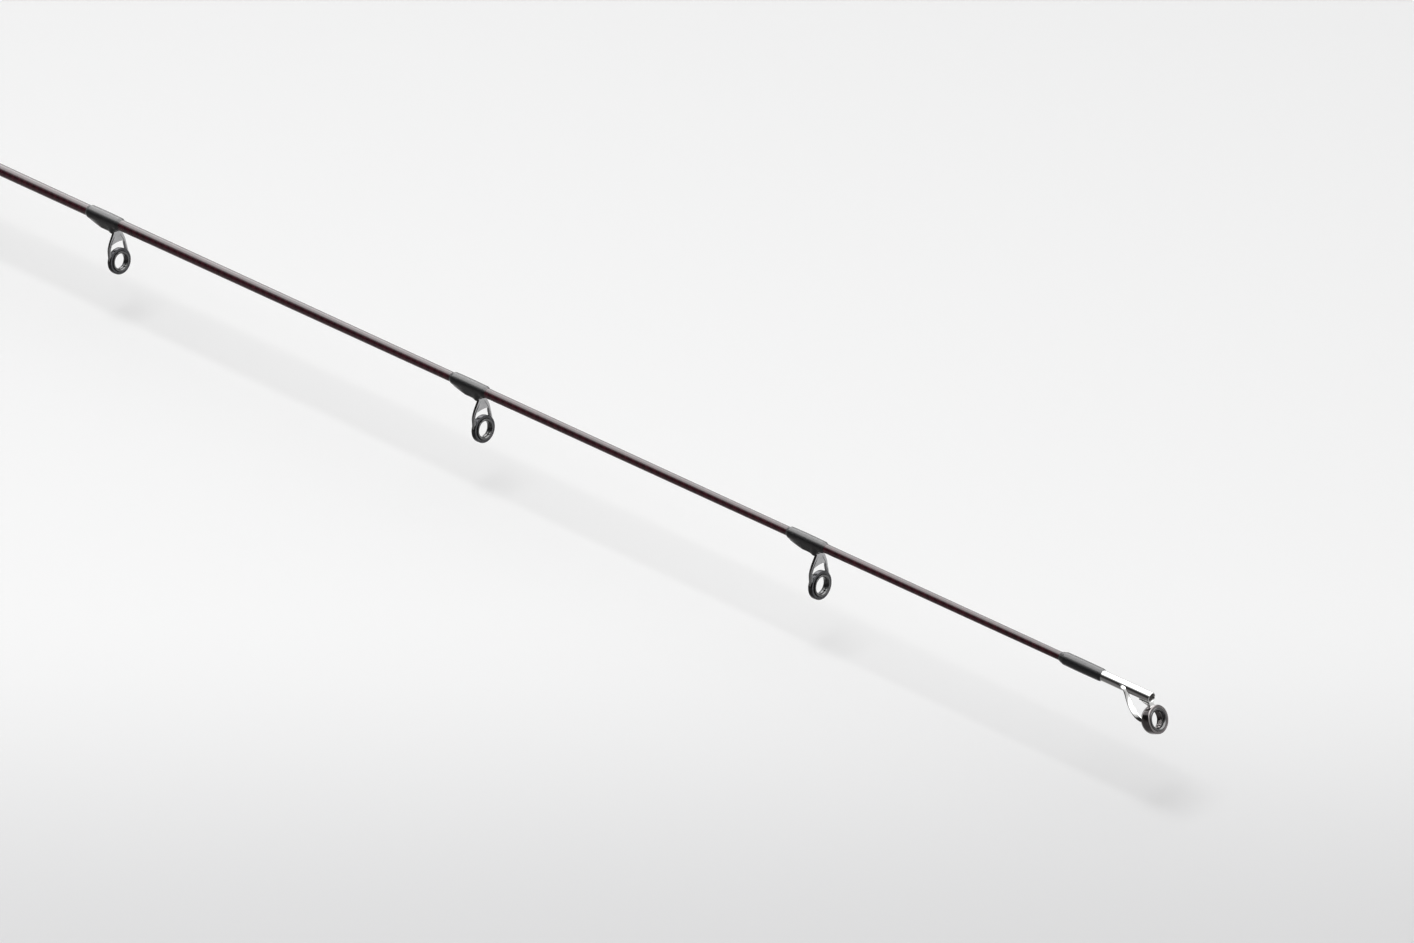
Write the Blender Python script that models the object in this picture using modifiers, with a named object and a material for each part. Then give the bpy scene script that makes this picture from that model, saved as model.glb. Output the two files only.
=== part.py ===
"""Two-piece drop shot spinning rod.

Metres, +Z up. The rod lies along +X from the middle of its butt face at the origin to its
tip, and its guides and reel seat face down. Each sub-part is one object. The tip section,
the sliding hood and the lock nut hang on empties that sit on their joints' axes.
"""
import math

import bmesh
import bpy

MM = 0.001

# Clearances
seat_gap = 0.3 * MM          # between neighbouring handle parts and in the ferrule
thread_gap = 0.15 * MM       # round the fine parts of the guides
weld_distance = 0.001 * MM

# Blank, butt section first
butt_section_length = 1070.0 * MM  # from the butt's face to the butt blank's front end
tip_section_length = 1030.0 * MM   # on from there to the tip
rod_length = butt_section_length + tip_section_length
ferrule_diameter = 5.6 * MM
butt_taper = 0.0050
butt_wall = 0.9 * MM
blank_chamfer = 0.4 * MM
tip_diameter = 2.05 * MM
tip_curve = 0.25             # share of the tip's taper that grows with the square of the distance
tip_wall = 0.45 * MM
blank_sides = 18

# Ferrule sleeve
socket_depth = 50.0 * MM
section_gap = 2.0 * MM       # between the two blanks inside the sleeve
sleeve_grip = 28.0 * MM      # length glued over the tip blank
sleeve_wall = 0.75 * MM
sleeve_lip = 4.0 * MM
ferrule_wrap_length = 12.0 * MM

# Guides, counted from the tip
tip_to_first_guide = 104.5 * MM
sleeve_to_last_guide = 28.0 * MM
guide_steps = (113.0, 135.5, 140.0, 150.0, 160.0, 170.0)  # spacings in proportion
guide_ring_sizes = (5.5 * MM, 5.5 * MM, 5.5 * MM, 6.0 * MM, 7.0 * MM, 8.0 * MM, 10.0 * MM)
guide_drops = (10.95 * MM, 10.95 * MM, 11.3 * MM, 12.0 * MM, 13.2 * MM, 15.0 * MM, 17.5 * MM)
guide_wraps = (12.1 * MM, 12.4 * MM, 12.7 * MM, 13.4 * MM, 14.6 * MM, 16.0 * MM, 18.0 * MM)
guide_tilts = (8.0, 8.0, 8.0, 7.5, 7.0, 5.5, 5.5)  # of the rings, in degrees
lean_share = 0.5             # how far the legs lean back, as a share of the ring's tilt
sheet_thickness = 0.7 * MM
heel_radius = 0.55 * MM
ring_wall = 0.77 * MM        # ceramic, from its bore to its outside
ring_width = 1.9 * MM
band_wall = 0.75 * MM
band_width = 1.3 * MM

# Stripper guide, the double-foot guide nearest the reel
stripper_to_sleeve = 138.0 * MM
stripper_ring_size = 16.0 * MM
stripper_drop = 21.0 * MM
stripper_wrap = 22.0 * MM
stripper_tilt = math.radians(5.5)
stripper_lean = math.radians(-24.0)
brace_lean = math.radians(-28.0)
brace_half_width = 1.5 * MM

# Thread wraps under epoxy
wrap_thickness = 0.32 * MM
wrap_lip = 0.12 * MM
wrap_lead = 1.4 * MM         # bare blank that a wrap covers beyond the foot
wrap_lock = 2.7 * MM         # turns past a single foot's heel, in front of its neck
wrap_sides = 14

# Tip-top
tip_ring_setback = 1.85 * MM
tip_ring_drop = 5.1 * MM
tip_ring_size = 5.5 * MM
tip_ring_width = 1.3 * MM
tip_ring_tilt = math.radians(25.0)
tip_tube_wall = 0.3 * MM
tip_tube_length = 25.2 * MM
tip_tube_setback = 1.75 * MM  # of the tube's front end behind the ring's centre
tip_tube_recess = 0.25 * MM   # of the brazed plug that closes the tube's front
tip_tube_rim = 0.4 * MM
tip_tube_plug = 1.15 * MM
tip_tube_overlap = 11.3 * MM  # of the wrap over the tube
tip_spigot_diameter = 1.7 * MM  # of the blank's end, turned down to fit the tube
tip_wrap_length = 12.9 * MM
tip_bezel_depth = 2.8 * MM
tip_bezel_straight = 1.5 * MM  # of its back half, before it tapers
tip_bezel_wall = 0.5 * MM
tip_leg_root = 6.9 * MM       # behind the tube's front end
tip_leg_dip = math.radians(40.0)
tip_leg_width = 1.9 * MM
tip_leg_setback = 1.15 * MM   # of its lower end behind the ring's centre
tip_leg_drop = 0.05 * MM      # of its lower end below the ring's centre
tip_leg_thickness = 0.5 * MM
# Shares of the way from root to bezel: along the rod, outward, down; and share of full width
tip_leg_shape = ((0.0, 0.0, 0.04, 0.65), (0.14, 0.1, 0.34, 0.9), (0.36, 0.45, 0.66, 1.0),
                 (0.66, 0.85, 0.9, 1.0), (1.0, 1.0, 1.0, 0.9))
tip_bridge_width = 1.6 * MM
tip_bridge_length = 3.0 * MM  # along the tube's underside

# Handle, as places along the blank and outside radii
grip_sides = 20
edge_break = 0.4 * MM
grip_edge = 1.6 * MM
butt_cap_length = 12.0 * MM
butt_cap_radius = 13.4 * MM
butt_cap_floor = 3.0 * MM
butt_cap_edge = 1.6 * MM
trim_ring_length = 3.0 * MM
trim_ring_radius = 13.0 * MM
butt_grip_length = 90.0 * MM
butt_grip_radius = 13.0 * MM
butt_grip_waist = 11.4 * MM
butt_grip_front = 10.2 * MM
check_length = 4.2 * MM
check_lip = 0.8 * MM          # wall of a check at its narrow end
rear_grip_start = 229.0 * MM
rear_grip_length = 53.0 * MM
rear_grip_tail = 8.6 * MM
fore_grip_length = 46.0 * MM
fore_grip_front = 8.4 * MM

# Reel seat
seat_length = 102.0 * MM
seat_bore = 7.0 * MM
barrel_runout = 2.3 * MM      # of thread beyond the hood's travel
barrel_radius = 9.8 * MM
seat_radius = 12.2 * MM
deck_depth = 9.3 * MM        # of the flat deck below the axis
hood_centre = 4.6 * MM       # of the hoods' bulge below the axis
hood_radius = 11.3 * MM
hood_wall = 1.3 * MM
fixed_hood_length = 22.0 * MM
fixed_pocket_depth = 14.0 * MM
hood_ring_radius = 12.4 * MM
hood_length = 22.4 * MM
hood_pocket_depth = 12.0 * MM
liner_thickness = 0.9 * MM
hood_start = 15.0 * MM       # behind the hood at rest, from the seat's rear end
hood_travel = 14.0 * MM
nut_length = 13.6 * MM
nut_radius = 13.0 * MM
nut_flute = 0.55 * MM
nut_flutes = 12
arbor_length = 20.0 * MM
arbor_inset = 8.0 * MM

# Hook keeper
keeper_x = 462.0 * MM
keeper_wire = 1.1 * MM
keeper_span = 9.0 * MM
keeper_rise = 5.2 * MM
keeper_foot = 6.0 * MM


def clear_scene():
    for thing in list(bpy.data.objects):
        bpy.data.objects.remove(thing)


def new_collection(name):
    collection = bpy.data.collections.new(name)
    bpy.context.scene.collection.children.link(collection)
    return collection


def new_material(name, colour, roughness, metallic=0.0):
    made = bpy.data.materials.new(name)
    made.use_nodes = True
    shader = made.node_tree.nodes["Principled BSDF"]
    shader.inputs["Base Color"].default_value = (*colour, 1.0)
    shader.inputs["Roughness"].default_value = roughness
    shader.inputs["Metallic"].default_value = metallic
    return made


def new_part(name, mesh, material, x=0.0, z=0.0, parent=None):
    """Link a mesh as a sub-part whose origin is at (x, 0, z)."""
    part = bpy.data.objects.new(name, mesh)
    part.location = (x, 0.0, z)
    if parent:
        part.parent = parent
        part.location.x = x - parent.location.x
    mesh.materials.append(material)
    rod.objects.link(part)
    return part


def new_tool(name, mesh, x=0.0, z=0.0):
    """Link a mesh that cuts or is fused into a part and isn't a part itself."""
    tool = bpy.data.objects.new(name, mesh)
    tool.location = (x, 0.0, z)
    tool.hide_render = True
    tool.display_type = "WIRE"
    cutters.objects.link(tool)
    return tool


def combine(part, tool, operation):
    boolean = part.modifiers.new(tool.name, "BOOLEAN")
    boolean.operation = operation
    boolean.solver = "EXACT"
    boolean.object = tool


def joint_empty(name, x):
    empty = bpy.data.objects.new(name, None)
    empty.location = (x, 0.0, 0.0)
    rod.objects.link(empty)
    return empty


def mesh_from(name, bm):
    """Weld, orient and shade a hand-built bmesh."""
    bmesh.ops.remove_doubles(bm, verts=bm.verts, dist=weld_distance)
    bmesh.ops.recalc_face_normals(bm, faces=bm.faces)
    mesh = bpy.data.meshes.new(name)
    bm.to_mesh(mesh)
    bm.free()
    mesh.shade_smooth()
    mesh.set_sharp_from_angle(angle=math.radians(35))
    return mesh


def butt_radius(x):
    return (ferrule_diameter + butt_taper * (butt_section_length - x)) / 2


def tip_radius(x):
    share = (rod_length - x) / tip_section_length
    share = (1 - tip_curve) * share + tip_curve * share * share
    return (tip_diameter + (ferrule_diameter - tip_diameter) * share) / 2


def blank_radius(x):
    return butt_radius(x) if x <= butt_section_length else tip_radius(x)


def bore_round(radius, gap, sides):
    """Corner radius of a bore whose flats clear a shaft by the gap."""
    return (radius + gap) / math.cos(math.pi / sides)


def turned_mesh(name, profile):
    """Profile for a Screw: points (along, radius), outer side from high to low, then the bore.

    A profile that starts on the axis stays open there; any other is closed into a ring.
    """
    mesh = bpy.data.meshes.new(name)
    points = [(radius, 0.0, along) for along, radius in profile]
    edges = [(k, k + 1) for k in range(len(points) - 1)]
    if profile[0][1] > 0:
        edges.append((len(points) - 1, 0))
    mesh.from_pydata(points, edges, [])
    return mesh


def turn(part, sides):
    """Stand a profile along X and spin it."""
    part.rotation_euler = (0.0, math.pi / 2, 0.0)
    screw = part.modifiers.new("turn", "SCREW")
    screw.axis = "Z"
    screw.steps = sides
    screw.render_steps = sides
    screw.use_merge_vertices = True
    screw.merge_threshold = 0.00001
    return part


def turned_part(name, profile, material, x=0.0, z=0.0, parent=None, sides=blank_sides):
    part = new_part(name, turned_mesh(name, profile), material, x, z, parent)
    return turn(part, sides)


def turned_tool(name, profile, x=0.0, z=0.0, sides=24):
    return turn(new_tool(name, turned_mesh(name, profile), x, z), sides)


def sleeve(name, outer, start, end, material, sides=grip_sides):
    """Turned part with outer points (x, radius) and a bore that follows the butt blank."""
    bore = [(x, bore_round(butt_radius(x), seat_gap, sides)) for x in (start, end)]
    profile = [(x - start, radius) for x, radius in sorted(outer, reverse=True) + bore]
    return turned_part(name, profile, material, start, sides=sides)


def loft_ring(name, rings):
    """Close a row of point rings on itself, as a tube with a bore."""
    bm = bmesh.new()
    rows = [[bm.verts.new(point) for point in ring] for ring in rings]
    count = len(rows[0])
    for k, row in enumerate(rows):
        following = rows[(k + 1) % len(rows)]
        for j in range(count):
            i = (j + 1) % count
            bm.faces.new((row[j], row[i], following[i], following[j]))
    return mesh_from(name, bm)


def loft_solid(name, rings):
    """Join a row of point rings and cap both ends."""
    bm = bmesh.new()
    rows = [[bm.verts.new(point) for point in ring] for ring in rings]
    count = len(rows[0])
    for row, following in zip(rows, rows[1:]):
        for j in range(count):
            i = (j + 1) % count
            bm.faces.new((row[j], row[i], following[i], following[j]))
    bm.faces.new(rows[0])
    bm.faces.new(rows[-1])
    return mesh_from(name, bm)


def extruded_mesh(name, loops, thickness):
    """Fill closed loops of (u, v) points, worked in millimetres so that the fill is sound."""
    curve = bpy.data.curves.new(name, "CURVE")
    curve.dimensions = "2D"
    curve.fill_mode = "BOTH"
    curve.extrude = thickness / 2 / MM
    for loop in loops:
        spline = curve.splines.new("POLY")
        spline.points.add(len(loop) - 1)
        for point, (u, v) in zip(spline.points, loop):
            point.co = (u / MM, v / MM, 0.0, 1.0)
        spline.use_cyclic_u = True
    holder = bpy.data.objects.new(name, curve)
    cutters.objects.link(holder)
    filled = holder.evaluated_get(bpy.context.evaluated_depsgraph_get())
    mesh = bpy.data.meshes.new_from_object(filled)
    bpy.data.objects.remove(holder)
    bm = bmesh.new()
    bm.from_mesh(mesh)
    bmesh.ops.scale(bm, verts=bm.verts, vec=(MM, MM, MM))
    bmesh.ops.remove_doubles(bm, verts=bm.verts, dist=weld_distance)
    return bm


def prism_mesh(name, loop, start, end):
    """Extrude an outline of (y, z) points along X from start to end."""
    bm = extruded_mesh(name, [loop], end - start)
    for vert in bm.verts:
        y, z, along = vert.co
        vert.co = (along + (start + end) / 2, y, z)
    return mesh_from(name, bm)


def fold_at(bends, v, n):
    """Follow a strip that starts along +X and bends down; n is the height over its middle."""
    x, z, heading, here = 0.0, 0.0, 0.0, 0.0
    for start, length, turning in bends:
        if v <= start:
            break
        x += (start - here) * math.cos(heading)
        z -= (start - here) * math.sin(heading)
        step = min(v, start + length) - start
        rate = turning / length
        turned = heading + rate * step
        x += (math.sin(turned) - math.sin(heading)) / rate
        z += (math.cos(turned) - math.cos(heading)) / rate
        heading, here = turned, start + step
    x += (v - here) * math.cos(heading)
    z -= (v - here) * math.sin(heading)
    return x + n * math.sin(heading), z + n * math.cos(heading)


def fold_sheet(bm, bends, steps):
    """Score a flat pattern along its bend lines and fold it."""
    for start, length, turning in bends:
        count = steps if abs(turning) > math.radians(45) else 1
        for k in range(count + 1):
            geometry = bm.verts[:] + bm.edges[:] + bm.faces[:]
            line = (0.0, start + length * k / count, 0.0)
            bmesh.ops.bisect_plane(bm, geom=geometry, dist=weld_distance, plane_co=line,
                                   plane_no=(0.0, 1.0, 0.0))
    for vert in bm.verts:
        u, v, n = vert.co
        x, z = fold_at(bends, v, n)
        vert.co = (x, u, z)


class Guide:
    """Sizes of one stamped guide, worked out from its ring size, drop and wrap length."""

    def __init__(self, ring_x, ring_size, drop, wrap_length, tilt, lean, radius, lock=0.0):
        growth = ring_size / guide_ring_sizes[0]
        self.ring_x = ring_x
        self.drop = drop
        self.tilt = tilt
        self.lean = lean
        self.radius = radius
        self.lock = lock
        self.ring_radius = ring_size / 2
        self.wall = ring_wall * math.sqrt(growth)
        self.width = ring_width * growth ** 0.2
        self.band_radius = self.ring_radius + thread_gap + band_wall
        self.sheet = sheet_thickness * growth ** 0.3
        self.leg_width = 0.85 * MM * growth ** 0.6
        self.foot_half = 0.9 * MM * growth ** 0.3
        self.neck_half = 1.45 * MM * growth ** 0.6
        self.foot_length = wrap_length - wrap_lead - lock
        self.foot_top = radius(ring_x) + thread_gap
        self.set_bends()

    def set_bends(self):
        """Place the heel bend and the bend at the ring so that the ring hangs at its drop."""
        radius = heel_radius
        heel_turn = math.pi / 2 + self.lean
        ring_turn = -(self.lean + self.tilt)
        heel = (self.foot_length, radius * heel_turn, heel_turn)
        self.heel_end = self.foot_length + radius * heel_turn
        bend_arc = 0.3 * MM + 2.0 * MM * abs(ring_turn)
        eye_reach = self.band_radius + 0.1 * MM

        def bends_for(leg):
            return [heel, (self.heel_end + leg, bend_arc, ring_turn)]

        def eye_at(leg):
            return self.heel_end + leg + bend_arc + eye_reach

        bare = fold_at(bends_for(0.0), eye_at(0.0), 0.0)[1]
        middle = self.foot_top + self.sheet / 2
        leg = (self.drop - middle + bare) / math.sin(heel_turn)
        self.bends = bends_for(leg)
        self.leg_end = self.heel_end + leg
        self.eye = eye_at(leg)
        self.shift = self.ring_x - fold_at(self.bends, self.eye, 0.0)[0]
        self.heel_x = self.shift + self.foot_length

    def foot_width(self, v):
        share = min(1.0, max(0.0, v / (0.5 * self.foot_length)))
        return self.foot_half * (0.45 + 0.55 * share)

    def foot_thickness(self, v):
        share = min(1.0, max(0.0, v / (0.5 * self.foot_length)))
        return self.sheet * (0.4 + 0.6 * share)


def tangent_angle(point, centre_v, radius):
    """Angle from the top of a circle to where a line from the point touches it."""
    across, along = point[0], centre_v - point[1]
    reach = math.hypot(across, along)
    return math.atan2(across, along) + math.acos(radius / reach)


def on_circle(centre_v, radius, angle):
    return radius * math.sin(angle), centre_v - radius * math.cos(angle)


def mirrored(points):
    """Right-hand points followed by their mirror images, back to the start."""
    return points + [(-u, v) for u, v in reversed(points)]


def guide_plate(name, guide):
    """Flat pattern of a guide: foot, neck, two legs round a window, and the eye; then folded."""
    eye_radius = guide.band_radius - 0.15 * MM
    leg_reach = guide.leg_end - guide.heel_end
    shoulder = (guide.neck_half * 2.2, guide.heel_end + 0.85 * leg_reach)
    touch = tangent_angle(shoulder, guide.eye, eye_radius)
    side = [(guide.foot_width(0.0), 0.0),
            (guide.foot_half, 0.5 * guide.foot_length),
            (guide.foot_half, guide.foot_length - 0.3 * MM),
            (guide.neck_half, guide.heel_end),
            shoulder]
    arc_steps = 5
    for k in range(arc_steps):
        side.append(on_circle(guide.eye, eye_radius, touch + (math.pi - touch) * k / arc_steps))
    bottom = (0.0, guide.eye + eye_radius)
    outline = side + [bottom] + [(-u, v) for u, v in reversed(side)]

    inner = math.acos((eye_radius - guide.leg_width) / eye_radius)
    corner = touch - inner
    window_top = guide.heel_end + 1.6 * guide.neck_half + guide.leg_width
    share = (window_top - guide.heel_end) / (shoulder[1] - guide.heel_end)
    top_half = guide.neck_half + (shoulder[0] - guide.neck_half) * share - guide.leg_width
    window = [(0.75 * top_half, window_top),
              (shoulder[0] - 1.1 * guide.leg_width, shoulder[1]),
              on_circle(guide.eye, eye_radius, corner),
              on_circle(guide.eye, eye_radius, corner / 2)]
    window = window + [(0.0, guide.eye - eye_radius)] + [(-u, v) for u, v in reversed(window)]

    hole_radius = guide.band_radius - 0.35 * MM
    hole_steps = 10
    hole = [on_circle(guide.eye, hole_radius, 2 * math.pi * k / hole_steps)
            for k in range(hole_steps)]

    bm = extruded_mesh(name, [outline, window, hole], guide.sheet)
    feather_foot(bm, guide)
    fold_sheet(bm, guide.bends, 3)
    return mesh_from(name, bm)


def feather_foot(bm, guide):
    """Grind the underside of a foot thin toward its free end."""
    for vert in bm.verts:
        if vert.co.z < 0.0:
            vert.co.z = guide.sheet / 2 - guide.foot_thickness(vert.co.y)


def band_profile(guide):
    inner = guide.ring_radius + thread_gap
    half = band_width / 2 * guide.width / ring_width
    outer = guide.band_radius
    edge = 0.15 * MM
    return [(half, inner), (half, outer - edge), (half - edge, outer),
            (edge - half, outer), (-half, outer - edge), (-half, inner)]


def ring_profile(radius, wall, width, rounding=3):
    """Ceramic ring with a rounded bore."""
    half = width / 2
    flat = 0.35 * wall
    points = [(half, radius - flat), (half, radius), (-half, radius), (-half, radius - flat)]
    for k in range(1, rounding):
        angle = math.pi * k / rounding
        bore = radius - flat - (wall - flat) * math.sin(angle)
        points.append((-half * math.cos(angle), bore))
    return points


def set_tilt(part, tilt):
    part.rotation_euler.y = math.pi / 2 - tilt


def hull_section(x, discs, sides):
    """Ring of points round a row of discs (y, z, radius), as thread lies round them."""
    points = []
    for k in range(sides):
        angle = 2 * math.pi * (k + 0.5) / sides
        ny, nz = math.sin(angle), math.cos(angle)
        y, z, radius = max(discs, key=lambda disc: disc[0] * ny + disc[1] * nz + disc[2])
        points.append((x, y + radius * ny, z + radius * nz))
    return points


def wrap_over_foot(name, guide, material, parent=None, facing=1, start_x=None):
    """Epoxied thread over the blank and a guide's foot, from bare blank to the heel and past it.

    A single foot's wrap goes on in front of the neck, which it is notched for.
    """
    length = guide.foot_length
    heel = guide.heel_x if start_x is None else start_x

    def section(v, pad, covered=True):
        x = heel + facing * (v - length)
        radius = guide.radius(x)
        discs = [(0.0, 0.0, bore_round(radius, thread_gap, wrap_sides) + pad)]
        if covered:
            low = guide.foot_top + guide.foot_thickness(v)
            half = guide.foot_width(v)
            discs += [(half, -low, thread_gap + pad), (-half, -low, thread_gap + pad)]
        return hull_section(x - heel, discs, wrap_sides)

    lead = -wrap_lead
    outer = [section(lead, wrap_lip, False),
             section(0.5 * lead, wrap_thickness, False),
             section(0.0, wrap_thickness),
             section(0.5 * length, wrap_thickness)]
    bore = [section(0.5 * length, 0.0),
            section(0.0, 0.0),
            section(-0.4 * MM, 0.0, False),
            section(lead, 0.0, False)]
    if not guide.lock:
        outer += [section(length - 0.7 * MM, wrap_thickness), section(length, wrap_lip)]
        bore.insert(0, section(length, 0.0))
        return new_part(name, loft_ring(name, outer + bore), material, heel, 0.0, parent)
    end = length + guide.lock
    outer += [section(length, wrap_thickness),
              section(length + 0.5 * guide.lock, wrap_thickness, False),
              section(end - 0.7 * MM, wrap_thickness, False),
              section(end, wrap_lip, False)]
    bore = [section(end, 0.0, False),
            section(length + 0.3 * MM, 0.0, False),
            section(length, 0.0)] + bore
    wrap = new_part(name, loft_ring(name, outer + bore), material, heel, 0.0, parent)
    far = guide.drop
    notch = [(-far, -guide.foot_top + thread_gap / 2), (-far, -far), (far, -far),
             (far, -guide.foot_top + thread_gap / 2)]
    room = heel_radius + guide.sheet / 2 + thread_gap
    cut = new_tool(name + "_notch", prism_mesh(name + "_notch", notch, 0.0, room), heel)
    combine(wrap, cut, "DIFFERENCE")
    return wrap


def single_foot_guide(number, ring_x, size, drop, wrap_length, degrees):
    name = f"guide_{number}"
    tilt = math.radians(degrees)
    guide = Guide(ring_x, size, drop, wrap_length, tilt, lean_share * tilt, tip_radius, wrap_lock)
    plate = guide_plate(name + "_plate", guide)
    frame = new_part(name + "_frame", plate, gunmetal, guide.shift,
                     -(guide.foot_top + guide.sheet / 2), tip_section)
    band = turned_tool(name + "_band", band_profile(guide), ring_x, -drop, 16)
    set_tilt(band, tilt)
    combine(frame, band, "UNION")
    ring = turned_part(name + "_ring",
                       ring_profile(guide.ring_radius, guide.wall, guide.width),
                       ceramic, ring_x, -drop, tip_section, 18)
    set_tilt(ring, tilt)
    wrap_over_foot(name + "_wrap", guide, thread, tip_section)


def stripper_guide(ring_x):
    """Double-foot guide: a folded plate on the rear foot and a brace from the front foot."""
    guide = Guide(ring_x, stripper_ring_size, stripper_drop, stripper_wrap, stripper_tilt,
                  stripper_lean, butt_radius)
    plate = guide_plate("stripper_plate", guide)
    foot_middle = -(guide.foot_top + guide.sheet / 2)
    frame = new_part("stripper_frame", plate, gunmetal, guide.shift, foot_middle)
    band = turned_tool("stripper_band", band_profile(guide), ring_x, -stripper_drop, 24)
    set_tilt(band, stripper_tilt)
    combine(frame, band, "UNION")

    top_x = ring_x - guide.band_radius * math.sin(stripper_tilt)
    top_z = -stripper_drop + guide.band_radius * math.cos(stripper_tilt)
    turning = math.pi / 2 + brace_lean
    arc = 2.0 * heel_radius * turning
    bends = [(guide.foot_length, arc, turning)]
    heel_end = guide.foot_length + arc
    fall = foot_middle - top_z + fold_at(bends, heel_end, 0.0)[1]
    brace_length = heel_end + (fall + 0.3 * MM) / math.sin(turning)
    reach = fold_at(bends, brace_length, 0.0)[0]
    side = [(guide.foot_width(0.0), 0.0),
            (guide.foot_half, 0.5 * guide.foot_length),
            (guide.foot_half, guide.foot_length),
            (brace_half_width, heel_end + 1.0 * MM),
            (brace_half_width * 0.8, brace_length)]
    bm = extruded_mesh("stripper_brace", [mirrored(side)], guide.sheet)
    feather_foot(bm, guide)
    fold_sheet(bm, bends, 3)
    for vert in bm.verts:
        vert.co.x = reach - vert.co.x
    brace = new_tool("stripper_brace", mesh_from("stripper_brace", bm), top_x, foot_middle)
    combine(frame, brace, "UNION")

    ring = turned_part("stripper_ring",
                       ring_profile(guide.ring_radius, guide.wall, guide.width),
                       ceramic, ring_x, -stripper_drop, None, 24)
    set_tilt(ring, stripper_tilt)
    wrap_over_foot("stripper_rear_wrap", guide, thread)
    front_heel = top_x + reach - guide.foot_length
    wrap_over_foot("stripper_front_wrap", guide, thread, None, -1, front_heel)


def tip_top():
    """Tube with two legs down to a bezel, a ceramic ring in it and the wrap behind."""
    ring_x = rod_length - tip_ring_setback
    tube_end = ring_x - tip_tube_setback
    tube_start = tube_end - tip_tube_length
    sides = 16
    bore = bore_round(tip_spigot_diameter / 2, thread_gap, sides)
    tube_radius = bore + tip_tube_wall
    face = tube_end - tip_tube_recess
    rim_bore = tube_radius - tip_tube_rim
    tube = [(face, 0.0), (face, rim_bore), (tube_end, rim_bore), (tube_end, tube_radius - 0.1 * MM),
            (tube_end - 0.1 * MM, tube_radius), (tube_start, tube_radius), (tube_start, bore),
            (face - tip_tube_plug, bore), (face - tip_tube_plug, 0.0)]
    frame = turned_part("tip_top_frame", [(x - tube_end, r) for x, r in tube],
                        chrome, tube_end, 0.0, tip_section, sides)

    seat = tip_ring_size / 2 + thread_gap
    rim = seat + tip_bezel_wall
    front = tip_ring_width / 2 - 0.15 * MM
    back = front - tip_bezel_depth
    bezel_profile = [(front, seat), (front, rim - 0.1 * MM), (front - 0.2 * MM, rim),
                     (-tip_bezel_straight, rim), (back, rim - 0.45 * MM), (back, seat - 0.45 * MM),
                     (-0.95 * MM, seat - 0.1 * MM), (-0.85 * MM, seat)]
    bezel = turned_tool("tip_top_bezel", bezel_profile, ring_x, -tip_ring_drop, 20)
    set_tilt(bezel, tip_ring_tilt)
    combine(frame, bezel, "UNION")

    def leg_section(x, y, z, width, side):
        """Rectangle across a leg, x counted from the tube's open end."""
        along = width / 2
        half = tip_leg_thickness / 2
        up_x, up_z = math.sin(tip_leg_dip), math.cos(tip_leg_dip)
        corners = ((along, half), (along, -half), (-along, -half), (-along, half))
        return [(x + a * up_x, side * (y + b), z + a * up_z) for a, b in corners]

    end_y = rim - 0.45 * MM
    root_y = bore + 0.1 * MM + tip_leg_thickness / 2
    root_x = -tip_leg_root
    foot_x = tip_tube_setback - tip_leg_setback
    foot_z = -tip_leg_drop - tip_ring_drop
    for side, label in ((1, "left"), (-1, "right")):
        rows = []
        for share, flare, sink, width in tip_leg_shape:
            rows.append(leg_section(root_x + (foot_x - root_x) * share,
                                    root_y + (end_y - root_y) * flare,
                                    foot_z * sink,
                                    tip_leg_width * width, side))
        leg = new_tool(f"tip_top_{label}_leg", loft_solid(f"tip_top_{label}_leg", rows), tube_end)
        combine(frame, leg, "UNION")

    def bezel_point(along, out):
        x = tip_tube_setback + along * math.cos(tip_ring_tilt) - out * math.sin(tip_ring_tilt)
        z = out * math.cos(tip_ring_tilt) + along * math.sin(tip_ring_tilt) - tip_ring_drop
        return x, z

    underside = -bore - tip_tube_wall / 2
    corners = [(-tip_bridge_length, underside), (-0.1 * MM, underside),
               bezel_point(0.0, seat + tip_bezel_wall / 2),
               bezel_point(back + 0.1 * MM, rim - 0.6 * MM)]
    half = tip_bridge_width / 2
    bridge = loft_solid("tip_top_bridge",
                        [[(x, y, z) for x, z in corners] for y in (-half, half)])
    combine(frame, new_tool("tip_top_bridge", bridge, tube_end), "UNION")

    ring = turned_part("tip_top_ring", ring_profile(tip_ring_size / 2, ring_wall, tip_ring_width),
                       ceramic, ring_x, -tip_ring_drop, tip_section, 20)
    set_tilt(ring, tip_ring_tilt)

    wrap_end = tube_start + tip_tube_overlap
    wrap_start = wrap_end - tip_wrap_length
    on_blank = bore_round(tip_radius(wrap_start), thread_gap, wrap_sides)
    on_tube = bore_round(tube_radius, thread_gap, wrap_sides)
    step = tube_start - 0.4 * MM
    points = [(wrap_end, on_tube + wrap_lip), (wrap_end - 0.7 * MM, on_tube + wrap_thickness),
              (tube_start, on_tube + wrap_thickness),
              (wrap_start + 1.0 * MM, on_blank + wrap_thickness),
              (wrap_start, on_blank + wrap_lip), (wrap_start, on_blank), (step, on_blank),
              (step, on_tube), (wrap_end, on_tube)]
    turned_part("tip_top_wrap", [(x - wrap_end, r) for x, r in points], thread,
                wrap_end, 0.0, tip_section, wrap_sides)
    return tube_start - thread_gap, face - tip_tube_plug - thread_gap


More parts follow.
